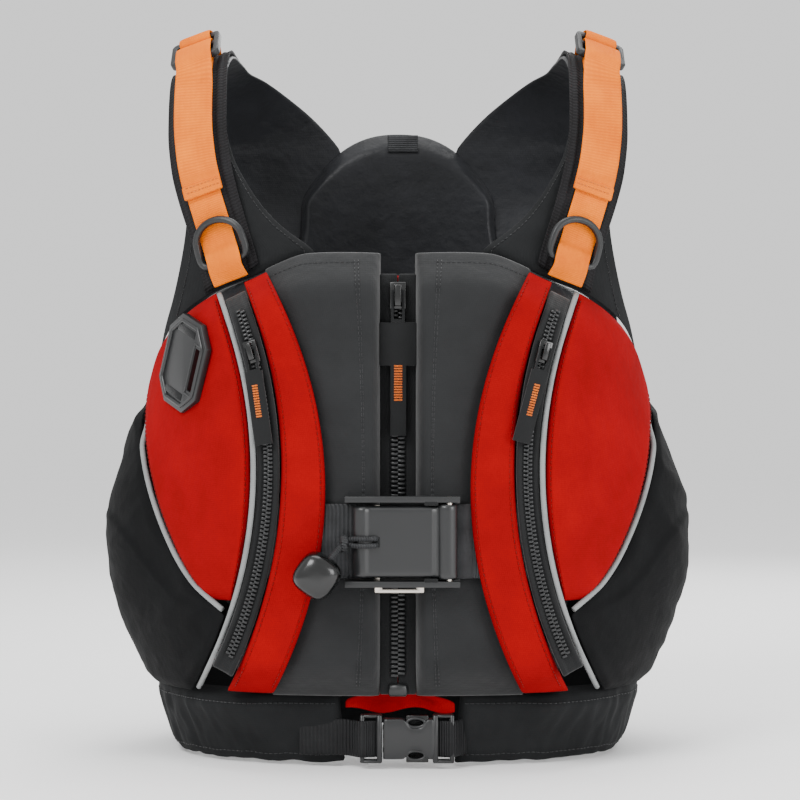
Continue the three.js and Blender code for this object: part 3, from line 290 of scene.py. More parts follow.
    def strap_edges(self, side: int, lean: float, width: float, out: float) -> list[Vector]:
        """The strap's two edges at a lean."""
        return [self.shoulder(side * (self.strap_x(lean) + half * width), lean, out) for half in (-0.5, 0.5)]

    def strap_edges_at(self, side: int, z: float, width: float, out: float) -> list[Vector]:
        """The strap's two edges at a height on the chest."""
        slope = (self.strap_x(self.strap_lean(z + 5)) - self.strap_x(self.strap_lean(z - 5))) / 10
        edges = []
        for half in (-0.5, 0.5):
            x = self.strap_x(self.strap_lean(z)) + half * width / math.hypot(1, slope)
            edges.append(self.shoulder(side * x, self.lean_at(x, z - half * width * slope), out))
        return edges


TORSO = Torso()


@dataclass(frozen=True)
class Outlines:
    """The seams that panels, pockets and zips share, in millimetres."""

    radius: float = 295
    near_x: float = 86
    near_z: float = 193
    slant: float = math.radians(14)
    band: float = 17
    piping: float = 3.4
    foot: float = 98
    rise: float = 8
    belt_z: float = 146.5
    belt_room: float = 4.3
    valley: float = 13

    def arc(self, z: float, offset: float) -> float:
        """x of an arc beside the pocket's zip."""
        along = self.radius - math.sqrt((self.radius + offset) ** 2 - (z - self.near_z) ** 2)
        return self.near_x + along * math.cos(self.slant)

    def strip(self, z: float) -> float:
        """Seam between the zip's band and the inner strip."""
        return self.arc(z, self.band / 2)

    def inner(self, z: float) -> float:
        """Seam between the zip's band and the pocket."""
        return self.arc(z, -self.band / 2)

    def cover(self, z: float) -> float:
        """Outer edge of the middle panel."""
        return 49 + 36 * ((z - 180) / 138) ** 2

    def pocket(self, z: float) -> float:
        """The pocket's outer edge."""
        return through(((98, 113), (117, 137), (150, 157), (191, 172), (229, 178), (250, 178)), z)

    def side(self, z: float) -> float:
        """The side panel's front edge."""
        return (self.inner(z) if z < self.foot else self.pocket(z)) + self.piping + 1.4

    def under(self, z: float) -> float:
        """How far the pocket's underside clears the padding."""
        return mix(self.belt_room, 0.6, ease((abs(z - self.belt_z) - 35) / 24))

    def arc_point(self, side: int, turn: float, radius: float, out: float) -> Vector:
        """A point in the plane of a pocket zip's arc."""
        along = self.radius - radius * math.cos(turn)
        angle = TORSO.angle(self.near_x, self.near_z)
        face = TORSO.ring(angle, self.near_z, TORSO.foam_front + TORSO.side_pad + out)
        return Vector((side * (self.near_x + along * math.cos(self.slant)),
                       face.y + along * math.sin(self.slant),
                       self.near_z - radius * math.sin(turn)))


SEAMS = Outlines()


# ---- Finishes ----


def linear(colour: str, alpha: float = 1.0) -> tuple[float, float, float, float]:
    """An sRGB hex colour in linear light."""
    parts = [int(colour[i : i + 2], 16) / 255 for i in (1, 3, 5)]
    red, green, blue = (c / 12.92 if c <= 0.04045 else ((c + 0.055) / 1.055) ** 2.4 for c in parts)
    return red, green, blue, alpha


def add_node(tree: bpy.types.NodeTree, kind: str, values: dict, links: dict | None = None) -> bpy.types.Node:
    """Adds a node with its settings and links.

    Args:
        tree: The material's node tree.
        kind: The node's type.
        values: Properties by name, and socket values by socket name or number.
        links: Output sockets by the input that they feed.

    Returns:
        The node.
    """
    node = tree.nodes.new(kind)
    for name, value in values.items():
        if isinstance(name, str) and hasattr(node, name):
            setattr(node, name, value)
        else:
            node.inputs[name].default_value = value
    for name, socket in (links or {}).items():
        tree.links.new(socket, node.inputs[name])
    return node


def start(name: str, values: dict) -> tuple[bpy.types.Material, bpy.types.NodeTree, bpy.types.Node]:
    """A new material with its shader's constants set.

    Args:
        name: The material's name.
        values: Socket values of the Principled shader.

    Returns:
        The material, its tree and its shader.
    """
    material = bpy.data.materials.new(name)
    material.use_nodes = True
    tree = material.node_tree
    shader = tree.nodes["Principled BSDF"]
    for socket, value in values.items():
        shader.inputs[socket].default_value = value
    return material, tree, shader


def wave_scale(spacing_mm: float) -> float:
    """The Wave texture's scale for bands this far apart."""
    return 2 * math.pi / (20 * spacing_mm * MM)


@dataclass(frozen=True)
class Woven:
    """Woven nylon cloth or webbing, with a thread pattern on its own UV map, in metres."""

    name: str
    colour: str
    shade: str
    warp_mm: float = 1.6
    weft_mm: float = 1.6
    bump: float = 0.25
    roughness: float = 0.8
    sheen: float = 0.15
    mottle_mm: float = 28
    warp_share: float = 1.0
    specular: float = 0.2

    def build(self) -> bpy.types.Material:
        """The finish's material."""
        material, tree, shader = start(self.name, {"Roughness": self.roughness, "Sheen Weight": self.sheen,
                                                   "Sheen Roughness": 0.5, "Specular IOR Level": self.specular})
        coords = add_node(tree, "ShaderNodeTexCoord", {})
        uv, place = coords.outputs["UV"], coords.outputs["Object"]
        warp = add_node(tree, "ShaderNodeTexWave", {"bands_direction": "X", "Scale": wave_scale(self.warp_mm),
                                                    "Distortion": 0.4, "Detail": 1.0}, {"Vector": uv})
        weft = add_node(tree, "ShaderNodeTexWave", {"bands_direction": "Y", "Scale": wave_scale(self.weft_mm),
                                                    "Distortion": 0.4, "Detail": 1.0}, {"Vector": uv})
        lengthwise = add_node(tree, "ShaderNodeMath", {"operation": "MULTIPLY_ADD", 1: self.warp_share,
                                                       2: 1 - self.warp_share}, {0: warp.outputs["Fac"]})
        threads = add_node(tree, "ShaderNodeMath", {"operation": "MULTIPLY"},
                           {0: lengthwise.outputs[0], 1: weft.outputs["Fac"]})
        wear = add_node(tree, "ShaderNodeTexNoise", {"Scale": 1 / (self.mottle_mm * MM), "Detail": 6.0,
                                                     "Roughness": 0.6}, {"Vector": place})
        blend = add_node(tree, "ShaderNodeMath", {"operation": "MULTIPLY_ADD", 1: 0.22},
                         {0: threads.outputs[0], 2: wear.outputs["Fac"]})
        tint = add_node(tree, "ShaderNodeValToRGB", {}, {"Fac": blend.outputs[0]})
        tint.color_ramp.elements[0].position, tint.color_ramp.elements[0].color = 0.35, linear(self.shade)
        tint.color_ramp.elements[1].position, tint.color_ramp.elements[1].color = 0.85, linear(self.colour)
        tree.links.new(tint.outputs["Color"], shader.inputs["Base Color"])
        rough = add_node(tree, "ShaderNodeMapRange", {"To Min": self.roughness - 0.12,
                                                      "To Max": self.roughness + 0.1},
                         {"Value": wear.outputs["Fac"]})
        tree.links.new(rough.outputs["Result"], shader.inputs["Roughness"])
        relief = add_node(tree, "ShaderNodeBump", {"Strength": self.bump, "Distance": 0.0006},
                          {"Height": threads.outputs[0]})
        soft = add_node(tree, "ShaderNodeTexNoise", {"Scale": 1 / (9 * MM), "Detail": 4.0}, {"Vector": place})
        crumple = add_node(tree, "ShaderNodeBump", {"Strength": 0.22, "Distance": 0.004},
                           {"Height": soft.outputs["Fac"], "Normal": relief.outputs["Normal"]})
        tree.links.new(crumple.outputs["Normal"], shader.inputs["Normal"])
        return material


@dataclass(frozen=True)
class Moulded:
    """Injection-moulded acetal: an even dark colour with a fine eroded grain."""

    name: str
    colour: str
    roughness: float
    grain_mm: float = 0.7
    grain: float = 0.15
    coat: float = 0.0

    def build(self) -> bpy.types.Material:
        """The finish's material."""
        material, tree, shader = start(self.name, {"Base Color": linear(self.colour), "IOR": 1.48,
                                                   "Coat Weight": self.coat, "Coat Roughness": 0.2})
        place = add_node(tree, "ShaderNodeTexCoord", {}).outputs["Object"]
        grain = add_node(tree, "ShaderNodeTexNoise", {"Scale": 1 / (self.grain_mm * MM), "Detail": 3.0},
                         {"Vector": place})
        scuffs = add_node(tree, "ShaderNodeTexNoise",
                          {"Scale": 1 / (14 * MM), "Detail": 8.0, "Roughness": 0.7},
                          {"Vector": place})
        rough = add_node(tree, "ShaderNodeMapRange", {"To Min": self.roughness - 0.08,
                                                      "To Max": self.roughness + 0.14},
                         {"Value": scuffs.outputs["Fac"]})
        tree.links.new(rough.outputs["Result"], shader.inputs["Roughness"])
        relief = add_node(tree, "ShaderNodeBump", {"Strength": self.grain, "Distance": 0.0003},
                          {"Height": grain.outputs["Fac"]})
        tree.links.new(relief.outputs["Normal"], shader.inputs["Normal"])
        return material


@dataclass(frozen=True)
class Metal:
    """Brushed stainless steel: long fine scratches along its length."""

    name: str
    colour: str
    roughness: float = 0.3

    def build(self) -> bpy.types.Material:
        """The finish's material."""
        material, tree, shader = start(self.name, {"Base Color": linear(self.colour), "Metallic": 1.0})
        place = add_node(tree, "ShaderNodeTexCoord", {}).outputs["Object"]
        stretch = add_node(tree, "ShaderNodeMapping", {"Scale": (60.0, 1500.0, 1500.0)}, {"Vector": place})
        brush = add_node(tree, "ShaderNodeTexNoise", {"Scale": 1.0, "Detail": 4.0},
                         {"Vector": stretch.outputs["Vector"]})
        rough = add_node(tree, "ShaderNodeMapRange", {"To Min": self.roughness - 0.1,
                                                      "To Max": self.roughness + 0.15},
                         {"Value": brush.outputs["Fac"]})
        tree.links.new(rough.outputs["Result"], shader.inputs["Roughness"])
        return material


FINISHES = (
    # Coated polyamide pack cloth: a fine plain weave, dull, a little dusty.
    Woven("charcoal_pack_cloth", "#202122", "#151617", 1.3, 1.3, 0.12),
    Woven("black_pack_cloth", "#0F1011", "#060607", 1.4, 1.4, 0.14, 0.8, 0.0, specular=0.12),
    Woven("red_pack_cloth", "#92000A", "#7C0006", 1.3, 1.3, 0.1, 0.85, 0.0, 40, specular=0.06),
    Woven("black_twill", "#1D1E1F", "#121314", 1.4, 1.4, 0.14, 0.78, 0.0, specular=0.15),
    # Smooth nylon lining: a soft sheen and hardly any weave.
    Woven("black_lining", "#222326", "#151618", 1.2, 1.2, 0.06, 0.42, 0.03, 60),
    # Polyester webbing: ribs run across it, and the threads between them are half hidden.
    Woven("orange_webbing", "#F07C00", "#D06000", 4.0, 1.6, 0.35, 0.75, 0.0, 30, 0.35, 0.08),
    Woven("grey_webbing", "#333436", "#161718", 3.0, 1.6, 0.6, 0.45, 0.02, 22, 0.25),
    Woven("ribbed_tape", "#1D1C1E", "#0B0A0B", 2.2, 2.0, 0.7, 0.8, 0.02, 28, 0.5),
    Woven("black_belt", "#1A1B1C", "#08080A", 3.0, 2.2, 0.8, 0.55, 0.0, 28, 0.2),
    # Woven zip tape, and retroreflective piping over a polyester core.
    Woven("black_zip_tape", "#161718", "#0B0C0D", 1.4, 1.4, 0.2, 0.8),
    Woven("grey_reflective", "#8E9090", "#767878", 1.2, 1.2, 0.15, 0.35, 0.0, 30),
    Woven("orange_thread", "#F07C00", "#C85800", 0.9, 0.9, 0.7, 0.6),
    Woven("black_thread", "#2C2D2F", "#18191A", 1.0, 1.0, 0.5, 0.6),
    Woven("red_thread", "#8E0000", "#600000", 1.0, 1.0, 0.5, 0.6, 0.0),
    # Acetal: satin from an eroded mould, and gloss from a polished one.
    Moulded("satin_acetal", "#18191A", 0.4),
    Moulded("grey_acetal", "#1A1B1C", 0.32, 0.9, 0.12, 0.1),
    Moulded("gloss_acetal", "#060707", 0.2, 1.2, 0.04, 0.2),
    Moulded("zip_teeth", "#191A1B", 0.3),
    Metal("stainless_steel", "#CFC8BE"),
)


class Wardrobe:
    """Every finish, built once, by name."""

    def __init__(self) -> None:
        """Builds the materials."""
        self.materials = {finish.name: finish.build() for finish in FINISHES}

    def dress(self, obj: bpy.types.Object, finish: str) -> None:
        """Gives a piece its one finish."""
        obj.data.materials.clear()
        obj.data.materials.append(self.materials[finish])


# ---- Making pieces ----


@dataclass(frozen=True)
class ClothSettings:
    """How stiff and heavy the simulated cloth is, and for how many frames it settles."""

    quality: int = 4
    mass: float = 0.2
    stiffness: float = 12
    bending: float = 0.6
    frames: int = 20


CLOTH = ClothSettings()


@dataclass
class Workshop:
    """Makes pieces, dresses them and sets them on their bodies."""

    wardrobe: Wardrobe
    made: list[bpy.types.Object] = field(default_factory=list)

    def piece(self, name: str, bm: bmesh.types.BMesh, finish: str, slot: str, body: Body | str,
              replaces: Sequence[str] = ()) -> bpy.types.Object:
        """Turns a bmesh into a finished piece.

        Args:
            name: The piece's name.
            bm: Its mesh in metres, in the frame. It is freed.
            finish: The finish's name.
            slot: A material slot's name; not used.
            body: The body that it rides on.
            replaces: The frame's nodes that it stands for.

        Returns:
            The piece.
        """
        mesh = bpy.data.meshes.new(name)
        bm.to_mesh(mesh)
        bm.free()
        mesh.shade_smooth()
        obj = bpy.data.objects.new(name, mesh)
        bpy.context.scene.collection.objects.link(obj)
        self.wardrobe.dress(obj, finish)
        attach(obj, body.value if isinstance(body, Body) else body)
        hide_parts(*replaces)
        self.made.append(obj)
        LOG.info("%s: %d faces", name, len(mesh.polygons))
        return obj

    def shell(self, place: Place, across: int, up: int, width: float, length: float) -> bmesh.types.BMesh:
        """A closed sheet that follows place(u, v, t), each from 0 to 1, t outwards.

        Args:
            place: Gives the point in torso millimetres.
            across: Faces across.
            up: Faces up.
            width: Real width of the cloth in millimetres, for its UV map.
            length: Real length of the cloth in millimetres.

        Returns:
            The sheet's mesh.
        """
        bm = bmesh.new()
        spot = bm.verts.layers.float_vector.new("spot")
        bmesh.ops.create_grid(bm, x_segments=across, y_segments=up, size=0.5)
        uv = bm.loops.layers.uv.new("UVMap")
        half = max(v.co.x for v in bm.verts)
        for v in bm.verts:
            v[spot] = Vector((v.co.x / half / 2 + 0.5, v.co.y / half / 2 + 0.5, 0.0))
        raised = bmesh.ops.extrude_face_region(bm, geom=bm.faces[:])
        for v in (g for g in raised["geom"] if isinstance(g, bmesh.types.BMVert)):
            v[spot] = Vector((v[spot].x, v[spot].y, 1.0))
        for v in bm.verts:
            v.co = metres(place(*v[spot]))
        for face in bm.faces:
            for loop in face.loops:
                at = loop.vert[spot]
                loop[uv].uv = (at.x * width * MM, (at.y * length + at.z * 2) * MM)
        bmesh.ops.recalc_face_normals(bm, faces=bm.faces[:])
        return bm

    def ribbon(self, pairs: Sequence[Sequence[Vector]], thickness: float, up: int,
               across: int = 6) -> bmesh.types.BMesh:
        """Webbing whose two edges run through pairs of points.

        Args:
            pairs: The two edges' points, in torso millimetres.
            thickness: The webbing's thickness.
            up: Faces along it.
            across: Faces across it.

        Returns:
            The webbing's mesh.
        """
        edges = [[pair[i] for pair in pairs] for i in (0, 1)]
        rows = []
        for k in range(up + 1):
            at = k / up
            ends = [centripetal(edge, at) for edge in edges]
            after, before = min(1.0, at + 0.003), max(0.0, at - 0.003)
            ahead = [centripetal(edge, after) - centripetal(edge, before) for edge in edges]
            rows.append((*ends, (ends[1] - ends[0]).cross(ahead[0] + ahead[1]).normalized()))
        length = sum((b[0] - a[0]).length for a, b in zip(rows, rows[1:]))

        def place(u: float, v: float, t: float) -> Vector:
            """The point of the sheet at (u, v, t)."""
            left, right, normal = rows[round(v * up)]
            rim = 0.55 if u in (0.0, 1.0) else 1.0
            return left.lerp(right, u) + normal * ((t - 0.5) * thickness * rim)

        return self.shell(place, across, up, (edges[0][0] - edges[1][0]).length, length)

    def tube(self, points: Sequence[Vector], radius: float, sides: int = 10,
             flat: float = 1.0) -> bmesh.types.BMesh:
        """A round rod with closed ends that follows points in torso millimetres.

        Args:
            points: The rod's centreline, close together.
            radius: The rod's radius.
            sides: Faces round it.
            flat: Its thickness as a share of its width.

        Returns:
            The rod's mesh.
        """
        bm = bmesh.new()
        uv = bm.loops.layers.uv.new("UVMap")
        spot = bm.verts.layers.float_vector.new("spot")
        line = [metres(p) for p in points]
        normal = (line[1] - line[0]).orthogonal().normalized()
        reach, before = 0.0, None
        for i, at in enumerate(line):
            along = (line[min(i + 1, len(line) - 1)] - line[max(i - 1, 0)]).normalized()
            normal = (normal - along * normal.dot(along)).normalized()
            frame = Matrix((normal, along.cross(normal) * flat, along)).transposed().to_4x4()
            frame.translation = at
            ring = bmesh.ops.create_circle(bm, segments=sides, radius=radius * MM, matrix=frame,
                                           cap_ends=i in (0, len(line) - 1))["verts"]
            reach += (at - line[max(i - 1, 0)]).length
            for k, v in enumerate(ring):
                v[spot] = Vector((k / sides, reach, 0.0))
            loop = [e for e in bm.edges if e.verts[0] in ring and e.verts[1] in ring]
            if before:
                bmesh.ops.bridge_loops(bm, edges=before + loop)
            before = loop
        for face in bm.faces:
            for corner in face.loops:
                corner[uv].uv = (corner.vert[spot].x * 2 * math.pi * radius * MM, corner.vert[spot].y)
        bmesh.ops.recalc_face_normals(bm, faces=bm.faces[:])
        return bm

    def blocks(self, frames: Sequence[tuple[Matrix, Vector]], bevel: float = 0.0) -> bmesh.types.BMesh:
        """Many small blocks, such as stitches or zip teeth.

        Args:
            frames: Each block's frame in metres and its size in millimetres.
            bevel: Rounding of the blocks' edges in millimetres.

        Returns:
            The blocks' mesh.
        """
        bm = bmesh.new()
        bm.loops.layers.uv.new("UVMap")
        for frame, size in frames:
            scaled = frame @ Matrix.Diagonal((*(size * MM), 1.0))
            bmesh.ops.create_cube(bm, size=1.0, matrix=scaled, calc_uvs=True)
        if bevel:
            bmesh.ops.bevel(bm, geom=bm.edges[:], offset=bevel * MM, affect="EDGES", segments=1, profile=0.5,
                            material=-1)
        return bm

    def stitches(self, name: str, lines: Sequence[Sequence[Vector]], outward: Callable[[Vector], Vector],
                 finish: str, slot: str) -> None:
        """Rows of stitches as one piece of the vest.

        Args:
            name: The piece's name.
            lines: The rows, in torso millimetres.
            outward: The surface's normal at a point.
            finish: The thread's finish.
            slot: A material slot's name, passed on to Workshop.piece.
        """
        frames = [frame for line in lines for frame in stitch_frames(line, outward)]
        self.piece(name, self.blocks(frames), finish, slot, Body.VEST)

    def refined(self, name: str, node: str, finish: str, slot: str, body: Body | str,
                bevel: float = 0.5) -> bpy.types.Object:
        """A hard piece of the frame with rounded edges.

        Args:
            name: The new piece's name.
            node: The frame's node.
            finish: The finish's name.
            slot: A material slot's name, passed on to Workshop.piece.
            body: The body that it rides on.
            bevel: Rounding of its edges in millimetres.

        Returns:
            The piece.
        """
        bm = bmesh.new()
        bm.from_mesh(bpy.data.objects[node].data)
        bmesh.ops.remove_doubles(bm, verts=bm.verts[:], dist=2e-6)
        bmesh.ops.dissolve_limit(bm, angle_limit=math.radians(2), verts=bm.verts[:], edges=bm.edges[:])
        sharp = [e for e in bm.edges if e.is_manifold and e.calc_face_angle() > math.radians(32)]
        bmesh.ops.bevel(bm, geom=sharp, offset=bevel * MM, affect="EDGES", segments=2,
                        profile=0.5, material=-1, clamp_overlap=True)
        obj = self.piece(name, bm, finish, slot, body, [node])
        obj.data.set_sharp_from_angle(angle=math.radians(35))
        return obj

    def settle(self, obj: bpy.types.Object, pins: Callable[[float, float], bool], pressure: float = 3.0,
               cap: float = 4.0) -> None:
        """Lets a padded piece swell and crease as cloth, with its seams held.

        Args:
            obj: The piece.
            pins: Whether the cloth is sewn down at its (u, v).
            pressure: The padding's pressure.
            cap: The furthest that a point may move, in millimetres.
        """
        spots = [Vector(item.vector) for item in obj.data.attributes["spot"].data]
        held = obj.vertex_groups.new(name="sewn")
        held.add([i for i, s in enumerate(spots) if s.z < 0.5 or pins(s.x, s.y)], 1.0, "REPLACE")
        rest = [v.co.copy() for v in obj.data.vertices]
        cloth = obj.modifiers.new("Cloth", "CLOTH")
        cloth.settings.quality = CLOTH.quality
        cloth.settings.mass = CLOTH.mass
        cloth.settings.tension_stiffness = cloth.settings.compression_stiffness = CLOTH.stiffness
        cloth.settings.bending_stiffness = CLOTH.bending
        cloth.settings.use_pressure = True
        cloth.settings.uniform_pressure_force = pressure
        cloth.settings.effector_weights.gravity = 0
        cloth.settings.vertex_group_mass = held.name
        cloth.point_cache.frame_start, cloth.point_cache.frame_end = 1, CLOTH.frames
        for frame_number in range(1, CLOTH.frames + 1):
            bpy.context.scene.frame_set(frame_number)
        solved = obj.evaluated_get(bpy.context.evaluated_depsgraph_get()).data
        moved = [v.co.copy() for v in solved.vertices]
        obj.modifiers.remove(cloth)
        obj.vertex_groups.clear()
        for v, before, after in zip(obj.data.vertices, rest, moved, strict=True):
            step = after - before
            v.co = before + (step if step.length < cap * MM else step.normalized() * cap * MM)
        bpy.context.scene.frame_set(1)


def column(place: Place, u: float, low: float, high: float, count: int) -> list[Vector]:
    """Points up a sheet's face at one u, from a low to a high share of its height."""
    return [place(u, mix(low, high, k / count), 1.0) for k in range(count + 1)]


def rounded(obj: bpy.types.Object, levels: int = 1) -> bpy.types.Object:
    """Rounds a soft piece with a subdivision surface.

    Args:
        obj: The piece.
        levels: Its levels.

    Returns:
        The piece.
    """
    surface = obj.modifiers.new("Round", "SUBSURF")
    surface.levels = surface.render_levels = levels
    return obj


def crease(at: Vector, size: float, depth: float, stretch: tuple[float, float, float] = (1, 1, 1)) -> float:
    """Soft wrinkles: how far the cloth lifts at a point.

    Args:
        at: The point in millimetres.
        size: Spacing of the wrinkles in millimetres.
        depth: Their depth in millimetres.
        stretch: Scale of the pattern along each axis.

    Returns:
        The lift in millimetres.
    """
    spot = Vector((at.x * stretch[0], at.y * stretch[1], at.z * stretch[2])) / size
    ridge = 1 - abs(noise.noise(spot)) * 2
    return depth * (0.7 * ridge + 0.3 * noise.noise(spot * 2.3) - 0.35)


def seam(u: float, v: float, width: float = 0.06, height: float = 0.03) -> float:
    """How full a padded sheet is at (u, v): 0 on its rim, 1 inside."""
    return ease(min(u, 1 - u) / width) * ease(min(v, 1 - v) / height)


def stitch_frames(points: Sequence[Vector], outward: Callable[[Vector], Vector], pitch: float = 3.6,
                  size: tuple[float, float, float] = (2.5, 0.55, 0.5)) -> list[tuple[Matrix, Vector]]:
    """Stitches along a line.

    Args:
        points: The line in torso millimetres.
        outward: The surface's normal at a point.
        pitch: Distance from stitch to stitch.
        size: A stitch's length, width and height.

    Returns:
        Frames for Workshop.blocks.
    """
    frames, reach, due = [], 0.0, 0.0
    for a, b in zip(points, points[1:]):
        step = b - a
        while step.length > 1e-6 and reach + step.length >= due:
            at = a + step * ((due - reach) / step.length)
            along, up = step.normalized(), outward(at).normalized()
            over = up.cross(along).normalized()
            frame = Matrix((along, over, along.cross(over))).transposed().to_4x4()
            frame.translation = metres(at)
            frames.append((frame, Vector(size)))
            due += pitch
        reach += step.length
    return frames


def from_axis(at: Vector) -> Vector:
    """The direction away from the body's axis."""
    return Vector((at.x * 0.55, at.y - BODY_Y, 0.0)).normalized()


def forward(_: Vector) -> Vector:
    """The direction that the front faces."""
    return Vector((0.0, -1.0, 0.0))


# ---- The front ----


@dataclass
class FrontPanels:
    """The two charcoal panels beside the zip, over their foam."""

    shop: Workshop
    corner: float = 8.0
    flange: float = 0.16
    start: float = 11.6

    def profile(self, side: int, u: float, v: float, t: float) -> Vector:
        """A point of a panel, whose inner edge turns down to the zip."""
        x, z = self.start, 0.0
        for _ in range(4):
            z = mix(TORSO.base, TORSO.front_top(x), v)
            if u < self.flange:
                turn = u / self.flange * math.pi / 2
                x = self.start + self.corner * (1 - math.cos(turn))
            else:
                x = mix(self.start + self.corner, SEAMS.cover(z), (u - self.flange) / (1 - self.flange))
        full = TORSO.pad(x, z)
        rise = math.sin(u / self.flange * math.pi / 2) ** 0.55 if u < self.flange else 1.0
        edge = ease((SEAMS.cover(z) - x) / 9) * ease((TORSO.front_top(x) - z) / 7)
        edge *= ease((z - TORSO.base) / 9)
        out = mix(4.0, full, rise) - 2.2 * (1 - edge) * rise
        at = TORSO.on(side * x, z, out - 1.6 + 1.6 * t, False)
        lift = crease(at, 46, 1.1, (1.0, 0.3, 0.55)) * edge * rise
        return at + Vector((0, -lift, 0))

    def build(self) -> None:
        """Makes both panels with their seams."""
        for hand in Hand:
            side = hand.value
            bm = self.shop.shell(lambda u, v, t, s=side: self.profile(s, u, v, t), 26, 64, 62, 300)
            obj = self.shop.piece(f"front_panel_{hand.word}", bm, "charcoal_pack_cloth",
                                  "charcoal_fabric", Body.VEST,
                                  [f"front_cover_{hand.word}"])
            self.shop.settle(obj, lambda u, v: u < 0.24 or u > 0.9 or v < 0.06 or v > 0.94, 2.0, 2.0)
            rounded(obj)
            self.seams(hand)
            self.inside(hand)

    def seams(self, hand: Hand) -> None:
        """Rows of stitches beside the zip and along the upper edge."""
        side = hand.value
        lines = [[self.profile(side, u, mix(0.03, 0.985, k / 80),
                               1.0) for k in range(81)] for u in (0.24, 0.27)]
        lines.append([self.profile(side, mix(0.24, 0.97, k / 24), 0.975, 1.0) for k in range(25)])
        self.shop.stitches(f"front_stitches_{hand.word}", lines, forward, "black_thread", "charcoal_fabric")

    def inside(self, hand: Hand) -> None:
        """The lining against the wearer's chest."""
        side = hand.value

        def edge(z: float) -> float:
            """The outer edge at a height."""
            low = SEAMS.inner(z) if z < SEAMS.foot else 200.0
            return min(138.0, SEAMS.pocket(max(z, SEAMS.foot)) - 4, low)

        def place(u: float, v: float, t: float) -> Vector:
            """The point of the sheet at (u, v, t)."""
            x = z = 0.0
            for _ in range(4):
                z = mix(TORSO.base, TORSO.front_top(x) - 1, v)
                x = mix(SEAMS.valley, edge(z), u)
            full = TORSO.pad(x, z)
            rim = 1 - seam(u, v, 0.05, 0.03)
            return TORSO.on(side * x, z, mix(full - 2.5 if t else 0.0, full * 0.55,
                                             rim * (1.0 if t else 0.8)), False)

        bm = self.shop.shell(place, 22, 40, 125, 300)
        obj = self.shop.piece(f"front_slab_{hand.word}", bm, "black_lining", "lining_fabric", Body.VEST,
                              [f"front_lining_{hand.word}", f"front_foam_{hand.word}"])
        rounded(obj)


